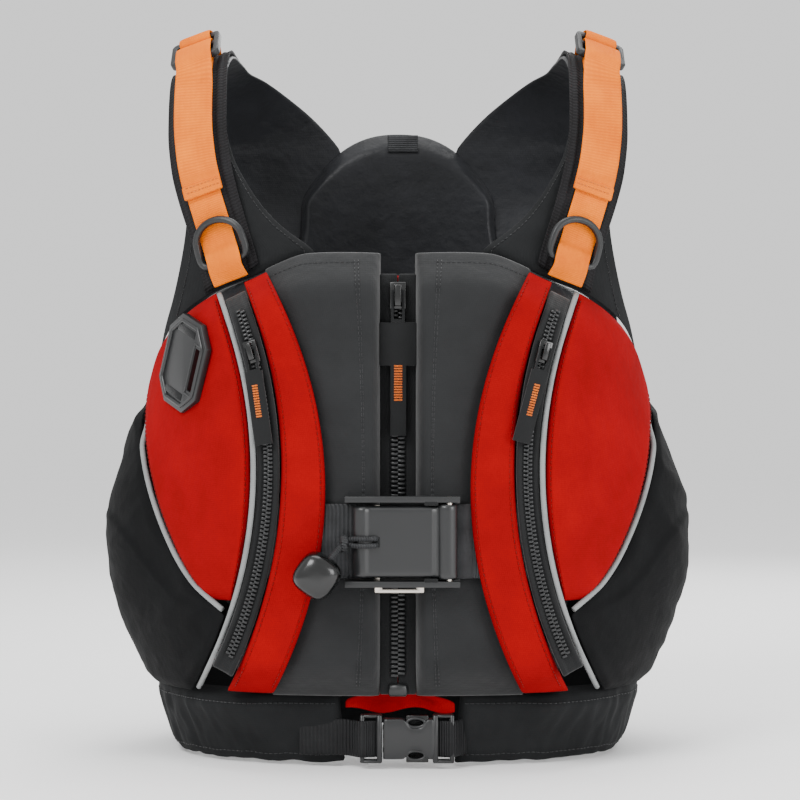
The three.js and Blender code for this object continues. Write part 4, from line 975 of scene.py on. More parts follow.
@dataclass
class Pockets:
    """The red chest pockets with their strips, zips and reflective piping."""

    shop: Workshop

    def build(self) -> None:
        """Makes both sides."""
        for hand in Hand:
            self.pocket(hand)
            self.strip(hand)
            self.band(hand)
            self.piping(hand)
            self.fastener(hand)

    def top(self, x: float) -> float:
        """The pockets' upper edge."""
        return TORSO.front_top(x) - 3

    def sheet(self, side: int, start_at: Callable[[float], float],
              end_at: Callable[[float], float], foot: float,
              rise: float, puff: float) -> Place:
        """A padded sheet over the padding between two seams."""

        def place(u: float, v: float, t: float) -> Vector:
            """The point of the sheet at (u, v, t)."""
            x = z = 0.0
            for _ in range(5):
                z = mix(foot, self.top(x), v)
                x = mix(start_at(z), max(end_at(z), start_at(z) + 3), u)
            full = seam(u, v, 0.07, 0.035)
            out = TORSO.pad(x, z) + mix(SEAMS.under(z), rise + puff * full - 2.5 * (1 - full), t)
            at = TORSO.on(side * x, z, out, False)
            lift = crease(at, 58, 1.9, (0.8, 0.5, 0.6)) * full * t
            return at + from_axis(at) * lift

        return place

    def pocket(self, hand: Hand) -> None:
        """The main pocket and its outer row of stitches."""
        place = self.sheet(hand.value, lambda z: SEAMS.inner(z) + SEAMS.piping + 0.3,
                           SEAMS.pocket, SEAMS.foot + 8,
                           SEAMS.rise, 1.6)
        bm = self.shop.shell(place, 30, 64, 90, 205)
        obj = self.shop.piece(f"chest_pocket_{hand.word}", bm, "red_pack_cloth", "red_fabric", Body.VEST,
                              [f"pocket_{hand.word}"])
        self.shop.settle(obj, lambda u, v: not (0.08 < u < 0.92 and 0.05 < v < 0.95), 4.0, 4.0)
        rounded(obj)
        lines = [column(place, u, 0.05, 0.97, 60) for u in (0.045, 0.955)]
        self.shop.stitches(f"pocket_stitches_{hand.word}", lines, from_axis, "red_thread", "red_fabric")

    def strip(self, hand: Hand) -> None:
        """The narrow strip between the middle panel and the zip."""
        place = self.sheet(hand.value, lambda z: SEAMS.cover(z) - 1.0, lambda z: SEAMS.strip(z) - 0.3,
                           TORSO.base + 2, SEAMS.rise - 0.5, 0.8)
        bm = self.shop.shell(place, 14, 72, 30, 285)
        obj = self.shop.piece(f"red_strip_{hand.word}", bm, "red_pack_cloth", "red_fabric", Body.VEST,
                              [f"pocket_strip_{hand.word}"])
        rounded(obj)
        lines = [column(place, u, 0.02, 0.98, 70) for u in (0.1, 0.88)]
        self.shop.stitches(f"strip_stitches_{hand.word}", lines, from_axis, "red_thread", "red_fabric")

    def on_band(self, side: int, turn: float, offset: float, lift: float) -> Vector:
        """A point of the zip's face: offset from its middle, lift off it."""
        at = SEAMS.arc_point(side, turn, SEAMS.radius + offset, 6.2)
        back = TORSO.on(at.x, at.z, TORSO.pad(at.x, at.z) + SEAMS.under(at.z), False).y
        flush = TORSO.on(at.x, at.z, TORSO.pad(at.x, at.z) + 6.2, False).y
        face = min(mix(at.y, flush, ease((at.z - 278) / 20)), back - 1)
        return Vector((at.x, face - lift, at.z))

    def band(self, hand: Hand) -> None:
        """The zip's tapes, folded beside a double row of teeth."""
        side = hand.value
        high, low = -math.radians(23.5), math.radians(27)

        def place(u: float, v: float, t: float) -> Vector:
            """The point of the sheet at (u, v, t)."""
            turn, offset = mix(low, high, v), (0.5 - u) * (SEAMS.band - 1.2)
            fold = 1.1 * ease((abs(offset) - 3.4) / 1.2) * (1 - ease((abs(offset) - 6.4) / 1.6))
            face = self.on_band(side, turn, offset, fold)
            return face if t else Vector((face.x, face.y + 4.5, face.z))

        bm = self.shop.shell(place, 16, 90, 17, 260)
        obj = self.shop.piece(f"pocket_zip_band_{hand.word}", bm, "black_zip_tape", "zip_tape", Body.VEST,
                              [f"pocket_zip_{hand.word}"])
        rounded(obj)
        frames = []
        count = 86
        for k in range(count):
            turn = mix(math.radians(24.5), -math.radians(21), k / (count - 1))
            for row in (-1, 1):
                shift = turn + row * 0.0024
                at = self.on_band(side, shift, row * 1.3, 1.2)
                along = (self.on_band(side, shift - 0.01, row * 1.3, 1.2) - at).normalized()
                across = along.cross(Vector((0, -1, 0))).normalized()
                frame = Matrix((across, along.cross(across), along)).transposed().to_4x4()
                frame.translation = metres(at)
                frames.append((frame, Vector((3.4, 1.8, 1.7))))
        self.shop.piece(f"pocket_zip_teeth_{hand.word}",
                        self.shop.blocks(frames, 0.25), "zip_teeth", "zip_tape",
                        Body.VEST)

    def piping(self, hand: Hand) -> None:
        """The reflective cords, which hook together at the pocket's foot."""
        side = hand.value

        def at(edge: Callable[[float], float], z: float) -> Vector:
            """The cord's middle at a height along a seam."""
            x = edge(z) + SEAMS.piping / 2
            sunk = 4.5 * ease((z - 206) / 20) if edge == SEAMS.pocket else 3.5 * ease((62 - z) / 16)
            return TORSO.on(side * x, z, TORSO.pad(x, z) + SEAMS.rise - 0.6 - sunk, False)

        inner = [at(SEAMS.inner, mix(TORSO.base + 3, self.top(SEAMS.inner(318)) - 2,
                                     k / 90)) for k in range(91)]
        outer = [at(SEAMS.pocket, mix(SEAMS.foot + 2, 226, k / 60)) for k in range(61)]
        bm = self.shop.tube(inner, 1.9, 10)
        self.shop.piece(f"inner_piping_{hand.word}", bm, "grey_reflective", "reflective_piping", Body.VEST,
                        [f"reflective_piping_{hand.word}"])
        bm = self.shop.tube(outer, 1.9, 10)
        self.shop.piece(f"outer_piping_{hand.word}", bm, "grey_reflective", "reflective_piping", Body.VEST)

    def fastener(self, hand: Hand) -> None:
        """The slider and its pull, whose tab carries an orange bartack."""
        word = hand.word
        self.shop.refined(f"chest_slider_{word}", f"pocket_slider_{word}", "gloss_acetal", "gloss_plastic",
                          f"pocket_slider_{word}", 0.45)
        self.shop.refined(f"chest_pull_{word}", f"pocket_pull_{word}", "black_zip_tape", "zip_tape",
                          f"pocket_pull_{word}", 0.3)
        tip, root = self.tab_ends(word)
        along = (root - tip).normalized()
        out = Vector((-0.2419 * hand.value, -0.9703, 0)).normalized()  # the band slants 14 degrees here
        across = along.cross(out).normalized()
        frames = []
        for k in range(13):
            frame = Matrix((across, along, across.cross(along))).transposed().to_4x4()
            frame.translation = tip + along * (0.019 + 0.0017 * k) + out * 0.0011
            frames.append((frame, Vector((5.4, 1.15, 0.7))))
        self.shop.piece(f"pull_bartack_{word}", self.shop.blocks(frames, 0.2),
                        "orange_thread", "orange_webbing",
                        f"pocket_pull_{word}")

    def tab_ends(self, word: str) -> tuple[Vector, Vector]:
        """The middle of a pull tab's lower and upper ends, in metres."""
        points = [v.co for v in bpy.data.objects[f"pocket_pull_{word}"].data.vertices]
        lowest = min(p.z for p in points)
        highest = max(p.z for p in points)
        ends = []
        for near in (lowest, highest):
            group = [p for p in points if abs(p.z - near) < 0.004]
            ends.append(sum((p for p in group), Vector()) / len(group))
        return ends[0], ends[1]


@dataclass
class MainZip:
    """The zip between the front panels, its slider and pull, and the red flap behind it."""

    shop: Workshop
    depth: float = 14.0

    def build(self) -> None:
        """Makes the tapes, the teeth, the slider and the flap."""
        y = BODY_Y - 114 - self.depth
        for hand in Hand:
            side = hand.value

            def place(u: float, v: float, t: float, s: int = side) -> Vector:
                """The point of the sheet at (u, v, t)."""
                x = mix(0.3, 12.4, u)
                fold = 0.9 * ease((x - 5.2) / 1.5)
                return Vector((s * x, y - 0.3 - t * (1.0 + fold), mix(TORSO.base + 1, 325, v)))

            bm = self.shop.shell(place, 8, 60, 12, 284)
            obj = self.shop.piece(f"main_tape_{hand.word}", bm, "black_zip_tape", "zip_tape", Body.VEST,
                                  [f"zip_tape_{hand.word}"])
            rounded(obj)
            frames = []
            for k in range(82):
                z = TORSO.base + 14 + k * 3.1 + (1.55 if side > 0 else 0)
                frame = Matrix.Translation(metres(Vector((side * 2.3, y - 2.2, z))))
                frames.append((frame, Vector((5.2, 2.6, 2.0))))
            self.shop.piece(f"main_teeth_{hand.word}",
                            self.shop.blocks(frames, 0.35), "zip_teeth", "zip_tape",
                            Body.VEST)
        stop = Matrix.Translation(metres(Vector((0, y - 2.4, TORSO.base + 4.2))))
        self.shop.piece("bottom_stop", self.shop.blocks([(stop, Vector((13, 4.5, 8.4)))], 1.4), "grey_acetal",
                        "gloss_plastic", Body.VEST)
        self.shop.refined("main_slider", "zip_slider", "gloss_acetal", "gloss_plastic", Body.SLIDER, 0.5)
        self.shop.refined("main_pull", "zip_pull", "black_zip_tape", "zip_tape", Body.PULL, 0.35)
        frames = []
        for k in range(14):
            frame = Matrix.Translation(metres(Vector((0.2, BODY_Y - 114 - 22.3 - 1.2, 240 + k * 1.75))))
            frames.append((frame, Vector((5.6, 0.8, 1.15))))
        self.shop.piece("main_bartack", self.shop.blocks(frames, 0.2), "orange_thread",
                        "orange_webbing", Body.PULL)
        self.flap(y)

    def flap(self, y: float) -> None:
        """The red flap behind the teeth, which shows below the panels."""

        def place(u: float, v: float, t: float) -> Vector:
            """The point of the sheet at (u, v, t)."""
            z = mix(30.5, 324, v**1.6)
            low = 1 - ease((z - 36) / 9)
            half = mix(15.5, 37, low)
            x = mix(-half, half, u) + 1.5 * low
            back = mix(3.0, 8.0, low)
            wave = 1.6 * math.sin(u * 15 + 0.8 * math.sin(u * 9)) * low
            sag = 2.2 * math.sin(u * 11 + 1) * (1 - v) ** 6
            return Vector((x, y + back - t * 1.4 - wave, z + sag))

        bm = self.shop.shell(place, 30, 60, 70, 300)
        obj = self.shop.piece("storm_flap_cloth", bm, "red_pack_cloth", "red_fabric",
                              Body.VEST, ["storm_flap"])
        rounded(obj)


# ---- Sides and back ----


@dataclass
class SidesAndBack:
    """The side panels, the padded back with its lining, and the neck label."""

    shop: Workshop

    def build(self) -> None:
        """Makes the sides and the back."""
        for hand in Hand:
            side = hand.value

            def place(u: float, v: float, t: float, s: int = side) -> Vector:
                """The point of the sheet at (u, v, t)."""
                z = mix(TORSO.base, mix(240, 258, ease(u * 1.6 - 0.3)), v)
                angle = mix(TORSO.angle(SEAMS.side(z), z), TORSO.angle(TORSO.back_half(z) + 2, z, True), u)
                full = seam(u, v, 0.03, 0.03)
                at = TORSO.around(s * angle, z, 4.5 + 4.0 * t * mix(0.5, 1.0, full))
                reach = abs(at.x)
                lower = 95 + 0.82 * (reach - 121) - 12 * math.sin(math.pi * ease((reach - 121) / 72))
                lower = mix(lower, 154, ease((at.y - BODY_Y + 30) / 40))
                flap = 2.4 * ease((lower - z) / 4.5)
                slanted = Vector((at.x, at.y, at.z + 0.75 * reach))
                lift = crease(slanted, 40, 3.6, (0.35, 0.35, 1.0)) + crease(slanted, 17, 1.3, (0.5, 0.5, 1.3))
                return at + from_axis(at) * ((lift + flap) * full * t)

            bm = self.shop.shell(place, 84, 72, 300, 215)
            obj = self.shop.piece(f"side_cloth_{hand.word}", bm, "black_pack_cloth",
                                  "black_fabric", Body.VEST,
                                  [f"side_panel_{hand.word}"])
            self.shop.settle(obj, lambda u, v: not (0.04 < u < 0.96 and 0.05 < v < 0.95), 3.0, 4.0)
            rounded(obj)
        self.back()
        label = self.shop.shell(
            lambda u, v, t: TORSO.on(mix(-8, 15, u), mix(428, 441, v),
                                     -0.8 - 0.7 * (1 - t), True), 10, 6, 23, 13)
        self.shop.piece("label_patch", label, "grey_webbing", "grey_webbing", Body.VEST, ["neck_label"])

    def back(self) -> None:
        """The back's foam slab: one padded shell, in the lining's finish, standing for its cover, lining and foam.
        """

        def place(u: float, v: float, t: float) -> Vector:
            """The point of the sheet at (u, v, t)."""
            x = z = 0.0
            for _ in range(4):
                z = mix(TORSO.base, TORSO.back_edge(x), v)
                reach = TORSO.back_half(z) + 7 * ease((258 - z) / 12)
                x = mix(-reach, reach, u)
            full = seam(u, v, 0.05, 0.03)
            pad = TORSO.pad(x, z, True)
            out = mix(pad * 0.62, pad if t else 0.0, full)
            at = TORSO.on(x, z, out, True)
            return at + Vector((0, crease(at, 60, 1.0) * full * (1 if t else 0.6), 0))

        bm = self.shop.shell(place, 48, 64, 250, 400)
        obj = self.shop.piece("back_pad", bm, "black_lining", "black_fabric", Body.VEST,
                              ["back_cover", "back_lining", "back_foam"])
        self.shop.settle(obj, lambda u, v: not (0.06 < u < 0.94 and 0.05 < v < 0.95), 3.0, 3.0)
        rounded(obj)


# ---- The shoulders ----


@dataclass
class Shoulders:
    """The yokes, ribbed pads, orange straps, ladder locks and D-rings."""

    shop: Workshop
    strap: float = 1.5
    webbing: float = 24.0
    tail: float = 27.5
    middle: float = 13.55
    tail_middle: float = 15.85
    over_bar: float = 21.07
    lock_lean: float = 72.0
    lock_out: float = 22.0
    tilt: float = math.radians(38)
    neck_rail: Knots = ((342, 57), (361, 82), (383, 100), (413, 115), (460, 122))
    arm_rail: Knots = ((240, 172), (288, 164), (310, 157), (337, 150), (359, 146), (379, 145), (400, 147),
                       (422, 150), (460, 154))

    def build(self) -> None:
        """Makes both shoulders."""
        for hand in Hand:
            self.front_yoke(hand)
            self.back_yoke(hand)
            self.pad(hand)
            self.straps(hand)
            self.shop.refined(f"strap_lock_{hand.word}", f"ladder_lock_{hand.word}",
                              "satin_acetal", "matte_plastic",
                              Body.VEST, 0.8)
            self.shop.refined(f"tether_ring_{hand.word}", f"d_ring_{hand.word}",
                              "satin_acetal", "matte_plastic",
                              f"d_ring_{hand.word}", 0.4)

    def front_yoke(self, hand: Hand) -> None:
        """The quilted fabric from the front panel up over the shoulder."""
        side = hand.value

        def place(u: float, v: float, t: float) -> Vector:
            """The point of the sheet at (u, v, t)."""
            x, z = mix(58, 168, u), 400.0
            for _ in range(6):
                z = mix(TORSO.front_top(x) - 0.6, 455, v)
                x = mix(57 if v == 0 else through(self.neck_rail, z),
                        168 if v == 0 else through(self.arm_rail, z), u)
            full = seam(u, v, 0.09, 0.04)
            out = mix(4.0, 5.2 + 2.0 * full, t)
            at = TORSO.rise(side * x, z, out, False)
            quilt = 0.7 * math.sin(z / 9.0) * full * t
            return at + Vector((0, -crease(at, 24, 0.9, (1, 0.4, 0.7)) * full * t - quilt * 0.5, 0))

        bm = self.shop.shell(place, 22, 44, 60, 180)
        obj = self.shop.piece(f"chest_yoke_{hand.word}", bm, "black_twill", "black_fabric", Body.VEST,
                              [f"front_yoke_{hand.word}"])
        rounded(obj)
        lines = [column(place, u, 0.02, 0.98, 60) for u in (0.07, 0.93)]
        self.shop.stitches(f"yoke_stitches_{hand.word}", lines, forward, "black_thread", "black_fabric")

    def back_yoke(self, hand: Hand) -> None:
        """The smooth fabric from the back pad up over the shoulder."""
        side, high, low = hand.value, 428.0, 238.0

        def place(u: float, v: float, t: float) -> Vector:
            """The point of the sheet at (u, v, t)."""
            full = seam(u, v, 0.08, 0.03)
            out = mix(4.0, 5.4 + 1.9 * full, t)
            if v <= 0.5:
                z = mix(low, high, 2 * v)
                beside = TORSO.back_half(z) if z < 392 else TORSO.pad_edge(z)
                x = mix(beside - 4.0, through(((254, 170), (300, 163), (350, 157), (428, 154)), z), u)
                at = TORSO.rise(side * x, z, out, True)
                return at + Vector((0, crease(at, 36, 1.2, (1, 0.4, 0.7)) * full * t, 0))
            over = 2 * v - 1
            neck = through(((0, TORSO.pad_edge(428) - 4.0), (0.1, 64), (0.2, 83), (0.32, 99),
                            (0.45, 111), (1, 121)), over)
            x = mix(neck, mix(154, 155, over), u)
            lean = mix(TORSO.lean_at(x, 425, True), TORSO.lean_at(x, 455) + 1.5, over)
            return TORSO.shoulder(side * x, lean, out)

        bm = self.shop.shell(place, 24, 70, 70, 300)
        obj = self.shop.piece(f"rear_yoke_{hand.word}", bm, "black_lining", "black_fabric", Body.VEST,
                              [f"back_yoke_{hand.word}"])
        rounded(obj)

    def pad(self, hand: Hand) -> None:
        """The ribbed elastic under the strap."""
        side = hand.value

        def place(u: float, v: float, t: float) -> Vector:
            """The point of the sheet at (u, v, t)."""
            offset = (u - 0.5) * 41 - 2.5
            base = TORSO.front_top(TORSO.strap_x(0) + offset) + 1
            z = mix(base, 455, min(1.0, 2 * v))
            lean = TORSO.strap_lean(z) if v < 0.5 else mix(TORSO.strap_lean(455), 122, 2 * v - 1)
            x = side * (TORSO.strap_x(lean) + offset)
            rib = 0.5 * math.cos(u * 41 / 2.6 * math.pi) * t
            out = 8.4 + 2.6 * t + rib - 0.8 * (1 - seam(u, v, 0.06, 0.01)) * t
            if z < TORSO.low_front:
                return TORSO.rise(x, z, out, False)
            return TORSO.shoulder(x, lean, out)

        bm = self.shop.shell(place, 44, 60, 41, 260)
        obj = self.shop.piece(f"ribbed_pad_{hand.word}", bm, "ribbed_tape", "ribbed_webbing", Body.VEST,
                              [f"shoulder_pad_{hand.word}"])

    def lock_frame(self, side: int) -> Matrix:
        """The ladder lock's frame: x across the strap, y up it, z out."""
        lean, up = self.lock_lean, Vector((0, math.cos(self.tilt), math.sin(self.tilt)))
        x = side * TORSO.strap_x(lean)
        across = TORSO.shoulder(x + 1, lean, self.lock_out) - TORSO.shoulder(x - 1, lean, self.lock_out)
        across = (across - up * up.dot(across)).normalized()
        frame = Matrix((across, up, across.cross(up))).transposed().to_4x4()
        frame.translation = TORSO.shoulder(x, lean, self.lock_out)
        return frame

    def straps(self, hand: Hand) -> None:
        """The strap to the lock, its loose tail, and the strap behind it."""
        side, word = hand.value, hand.word
        lock = self.lock_frame(side)

        def in_lock(width: float, along: float, out: float) -> list[Vector]:
            """Two edge points in the lock's frame."""
            return [lock @ Vector((side * half * width, along, out)) for half in (-0.5, 0.5)]

        foot = [TORSO.rise(side * (TORSO.strap_x(0) + half * self.webbing),
                           TORSO.front_top(TORSO.strap_x(0) + half * self.webbing) + 1.2, self.middle + 2.5, False)
                for half in (-0.5, 0.5)]
        run = [(326, self.over_bar - 1), (331, self.over_bar), (336.5, self.over_bar - 1),
               (342, 14.15), (352, 14.15),
               (362, 14.15), (373, 13.55), (390, 13.55), (410, 13.55), (430, 13.55), (448, 13.55)]
        pairs = [foot] + [TORSO.strap_edges_at(side, z, self.webbing, out) for z, out in run]
        pairs += [in_lock(24, -15, -4.8), in_lock(24, -9, -4), in_lock(24, 1.5, -3.6)]
        self.webbing_piece(f"chest_strap_{word}", pairs, 130, f"shoulder_strap_{word}", False)
        tail = [(373, 16.25), (379, 16.25), (384, 16.05)]
        tail += [(z, self.tail_middle) for z in (386, 395, 405, 415, 425, 435, 446)]
        pairs = [TORSO.strap_edges_at(side, z, self.tail, out) for z, out in tail]
        pairs += [in_lock(self.tail, a, o) for a, o in ((-19, 1.2), (-13, 3.6),
                                                        (-8, 4.1), (0, 4.1), (3.8, 2.6),
                                                        (4.4, -0.6))]
        self.webbing_piece(f"loose_tail_{word}", pairs, 90, f"strap_tail_{word}", True)
        pairs = [in_lock(24, a, o) for a, o in ((7.1, -1.5), (7.6, 2.7), (10.5, 4.3), (14.5, 3.9), (17.8, 1),
                                                (24, -7))]
        pairs += [TORSO.strap_edges(side, lean, self.webbing, self.middle) for lean in (97, 108, 118)]
        self.webbing_piece(f"back_strap_{word}", pairs, 70, f"rear_strap_{word}", False)

    def webbing_piece(self, name: str, pairs: Sequence[Sequence[Vector]], up: int,
                      node: str, folded: bool) -> None:
        """One run of orange webbing.

        Args:
            name: The piece's name.
            pairs: Its edges' points.
            up: Faces along it.
            node: The frame's node that it stands for.
            folded: Whether its lower end is folded over and stitched.
        """
        bm = self.shop.ribbon(pairs, self.strap, up, 8)
        obj = self.shop.piece(name, bm, "orange_webbing", "orange_webbing", Body.VEST, [node])
        rounded(obj)
        if not folded:
            return
        edges = [[pair[i] for pair in pairs] for i in (0, 1)]

        def over(u: float, v: float, t: float) -> Vector:
            """A point of the folded end."""
            at = v * 0.085
            left, right = (centripetal(edge, at) for edge in edges)
            ahead = centripetal(edges[0], at + 0.01) - left
            out = (right - left).cross(ahead).normalized()
            out *= math.copysign(1, out.dot(Vector((0, -1, 0))))
            return left.lerp(right, u) + out * (0.75 + t * 1.3)

        flap = self.shop.piece(f"{name}_fold", self.shop.shell(over, 8, 8, 27.5, 12), "orange_webbing",
                               "orange_webbing", Body.VEST)
        rounded(flap)
        frames = []
        for v in (0.45, 0.85):
            row = [over(mix(0.08, 0.92, k / 12), v, 1.0) for k in range(13)]
            frames += stitch_frames(row, forward, 2.8, (2.0, 0.5, 0.4))
        self.shop.piece(f"{name}_stitches", self.shop.blocks(frames), "orange_thread",
                        "orange_webbing", Body.VEST)


# ---- The chest harness ----


@dataclass
class Harness:
    """The chest belt with its quick-release buckle and toggle."""

    shop: Workshop
    height: float = 146.5
    width: float = 50.0
    out: float = 2.3
    ring_x: float = -24.9
    ring: float = 7.0
    ball: Vector = field(default_factory=lambda: Vector((-53, -158.9, 125)))

    def front_y(self, out: float) -> float:
        """y at a distance out from the chest."""
        return BODY_Y - 114 - out

    def build(self) -> None:
        """Makes the belt, the buckle and the toggle."""
        self.belt()
        self.plate()
        self.toggle()
        self.lever()
        self.shop.refined("release_frame", "qr_frame", "satin_acetal", "matte_plastic", Body.VEST, 1.4)
        self.shop.refined("release_pin", "qr_pin", "stainless_steel", "steel", Body.VEST, 0.3)

    def belt(self) -> None:
        """The belt, round the back and through the pockets."""
        first, last = TORSO.angle(-17.5, self.height), TORSO.angle(50, self.height) - 2 * math.pi

        def place(u: float, v: float, t: float) -> Vector:
            """The point of the sheet at (u, v, t)."""
            z = self.height + (u - 0.5) * self.width
            rim = 0.6 if u in (0.0, 1.0) else 1.0
            lift = (t - 0.5) * 2.0 * rim
            if v < 0.9:
                return TORSO.around(mix(first, last, v / 0.9), z, self.out + lift)
            ends = [TORSO.around(last, z, self.out)]
            ends += [Vector((x, self.front_y(out), z)) for x,
                     out in ((44, 42.9), (38, 43.9), (30, 43.9), (22, 43.9))]
            at = centripetal(ends, (v - 0.9) / 0.1)
            return at + Vector((0, -lift, 0))

        bm = self.shop.shell(place, 12, 240, 50, 1160)
        obj = self.shop.piece("chest_belt", bm, "grey_webbing", "grey_webbing", Body.VEST, ["harness_belt"])
        rounded(obj)

    def profile(self, x: float) -> float:
        """How far out the lever's face is at x: a bullnose, a flat plate and a barrel round the pin."""
        if x < -22.5:
            return 43.0 + 10.0 * math.sqrt(max(0.0, 1 - ((-22.5 - x) / 8.2) ** 2))
        if x < 25.5:
            return 51.4 + 1.6 * (1 - ease((x + 22.5) / 4)) - 1.6 * ease((x - 22) / 3.5)
        return 45.5 + 7.2 * math.sqrt(max(0.0, 1 - ((x - 32.6) / 7.1) ** 2)) ** 0.9

    def lever(self) -> None:
        """The release lever, with dark blocks as painted shade in its cord hole and in the pin's slots."""

        def place(u: float, v: float, t: float) -> Vector:
            """The point of the sheet at (u, v, t)."""
            x = mix(-30.6, 39.4, u)
            side = 1 - ease(min(v, 1 - v) / 0.05)
            out = self.profile(x) - 1.3 * side
            return Vector((x, self.front_y(out if t else min(out - 0.8, 44.6)),
                           self.height + (v - 0.5) * (47.4 + 3.2 * ease((x - 25) / 3))))

        bm = self.shop.shell(place, 70, 24, 70, 47)
        rounded(self.shop.piece("release_lever", bm, "grey_acetal", "matte_plastic",
                                Body.LEVER, ["qr_lever"]))
        # Painted shade: a dark block on the lever's face stands for the shade inside the cord hole.
        hole = Matrix.Translation(metres(Vector((-14.4, self.front_y(51.2), self.height))))
        self.shop.piece("lever_hole_shade", self.shop.blocks([(hole,
                                                         Vector((5.6, 1.4, 7.4)))], 0.6), "black_zip_tape",
                        "matte_plastic", Body.LEVER)
        # Painted shade: dark blocks stand for the shade inside the pin's slots.
        slots = []
        for end in (-1, 1):
            frame = Matrix.Translation(metres(Vector((22, self.front_y(51.4), self.height + end * 25.4))))
            slots.append((frame, Vector((9, 1.2, 2.6))))
        self.shop.piece("rail_slot_shade", self.shop.blocks(slots, 0.5), "black_zip_tape",
                        "matte_plastic", Body.VEST)

    def plate(self) -> None:
        """The steel plate under the buckle, with its slot."""
        self.shop.refined("belt_plate", "tension_plate", "stainless_steel", "steel", Body.VEST, 1.5)

    def toggle(self) -> None:
        """The cord's two strands with their knot, and the ball."""
        centre = Vector((self.ring_x, self.front_y(49.1), self.height))
        for row in (-1, 1):
            run = [(-14.4, 51.6, 2.2), (-15.5, 53.6, 2.3), (-20, 54.4, 2.3),
                   (-25, 55.0, 2.3), (-29.5, 53.6, 2.1),
                   (-32.6, 50.6, 1.2)]
            knots = [Vector((x, self.front_y(out), self.height + row * z)) for x, out, z in run]
            strand = self.shop.tube([centripetal(knots, k / 40) for k in range(41)], 1.9, 12, 0.85)
            name = "toggle_strand_upper" if row > 0 else "toggle_strand_lower"
            self.shop.piece(name, strand, "grey_webbing", "grey_webbing", Body.LEVER)
        wrap = []
        for k in range(61):
            turn = math.tau * 2.2 * k / 60
            wrap.append(Vector((-34.6 - 2.2 * k / 60 + 0.8 * math.cos(turn),
                                self.front_y(50.2 + 3.0 * math.cos(turn)),
                                self.height - 1.2 + 4.4 * math.sin(turn))))
        self.shop.piece("toggle_knot", self.shop.tube(wrap, 1.7, 10), "grey_webbing",
                        "grey_webbing", Body.TOGGLE)
        exit_at = centre + Vector((-self.ring, 0, 0))
        knots = [exit_at, exit_at + Vector((-4, -1, -2)), Vector((-45, self.ball.y, 135)),
                 self.ball + Vector((1.0, 0, 1.6))]
        points = [centripetal(knots, k / 40) for k in range(41)]
        path = [metres(p) for p in points]
        cord = self.shop.piece("toggle_stem", self.shop.tube(points, 2.0, 14), "grey_webbing", "grey_webbing",
                               Body.TOGGLE, ["toggle_cord"])
        ball = self.ball_piece()

    def ball_piece(self) -> bpy.types.Object:
        """The rounded cube at the cord's end."""
        bm = bmesh.new()
        bmesh.ops.create_cube(bm, size=2.0, calc_uvs=False)
        bmesh.ops.subdivide_edges(bm, edges=bm.edges[:], cuts=9, use_grid_fill=True)
        bm.loops.layers.uv.new("UVMap")
        turn = Matrix.Rotation(math.radians(35), 3, "Y")
        for v in bm.verts:
            d = v.co.normalized()
            size = (abs(d.x) ** 3 + abs(d.y) ** 3 + abs(d.z) ** 3) ** (1 / 3)
            v.co = metres(self.ball + turn @ (d / size) * 14.3)
        obj = self.shop.piece("release_ball", bm, "gloss_acetal", "gloss_plastic",
                              Body.TOGGLE, ["toggle_ball"])
        return obj


# ---- The lash tab ----


@dataclass
class LashTab:
    """The moulded attachment tab on the right pocket."""

    shop: Workshop

    x: float = -142
    z: float = 265
    lean: float = math.radians(-20)
    half_width: float = 25.5
    half_height: float = 31.5
    corner: float = 13
    thickness: float = 4.5

    def frame(self) -> Matrix:
        """The tab's frame in torso millimetres: x across it, y up it, z out."""

        def outward(x: float, z: float, out: float) -> Vector:
            """A point off the pocket."""
            return TORSO.on(x, z, TORSO.pad(x, z) + out, False)

        rise = SEAMS.rise
        across = (outward(self.x + 8, self.z, rise) - outward(self.x - 8, self.z, rise)).normalized()
        up = outward(self.x, self.z + 6, rise) - outward(self.x, self.z - 14, rise)
        face = across.cross(up).normalized()
        frame = Matrix((across, face.cross(across), face)).transposed().to_4x4()
        frame.translation = outward(self.x, self.z, rise + 1.2)
        return frame @ Matrix.Rotation(self.lean, 4, "Z")

    def build(self) -> None:
        """Makes the tab and its raised rims, with dark blocks as painted shade in its slots."""
        self.shop.refined("attachment_tab", "lash_tab", "grey_acetal", "matte_plastic", Body.VEST, 0.9)
        frame = self.frame()
        wide, tall, cut = self.half_width - 4.2, self.half_height - 4.2, self.corner - 2.2
        corners = [(-wide + cut, -tall), (wide - cut, -tall), (wide, -tall + cut), (wide, tall - cut),
                   (wide - cut, tall), (-wide + cut, tall), (-wide, tall - cut), (-wide, -tall + cut)]
        self.rim("tab_rim", frame, corners, 1.5)
        x = self.half_width - 9.5
        self.rim("tab_slot_rim", frame, [(x - 4.6, -17.5), (x + 4.6, -17.5),
                                         (x + 4.6, 17.5), (x - 4.6, 17.5)], 0.8)
        # Painted shade: dark blocks on the tab's face stand for the shade inside its slots.
        slots = []
        for end in (-1, 1):
            place = frame @ Matrix.Translation(Vector((-2.5, end * (self.half_height - 9.5), self.thickness)))
            place.translation = metres(place.translation)
            slots.append((place, Vector((23, 5, 0.9))))
        self.shop.piece("tab_slot_shade", self.shop.blocks(slots, 0.4), "black_zip_tape",
                        "matte_plastic", Body.VEST)

    def rim(self, name: str, frame: Matrix, corners: Sequence[tuple[float, float]], radius: float) -> None:
        """A raised rim through corners on the tab's face."""
        line = []
        for (x0, y0), (x1, y1) in zip(corners, [*corners[1:], corners[0]]):
            line += [frame @ Vector((mix(x0, x1, k / 8), mix(y0, y1, k / 8),
                                     self.thickness)) for k in range(8)]
        bm = self.shop.tube([*line, line[0] + Vector((0.01, 0, 0))], radius, 10)
        self.shop.piece(name, bm, "grey_acetal", "matte_plastic", Body.VEST)


# ---- The waist ----


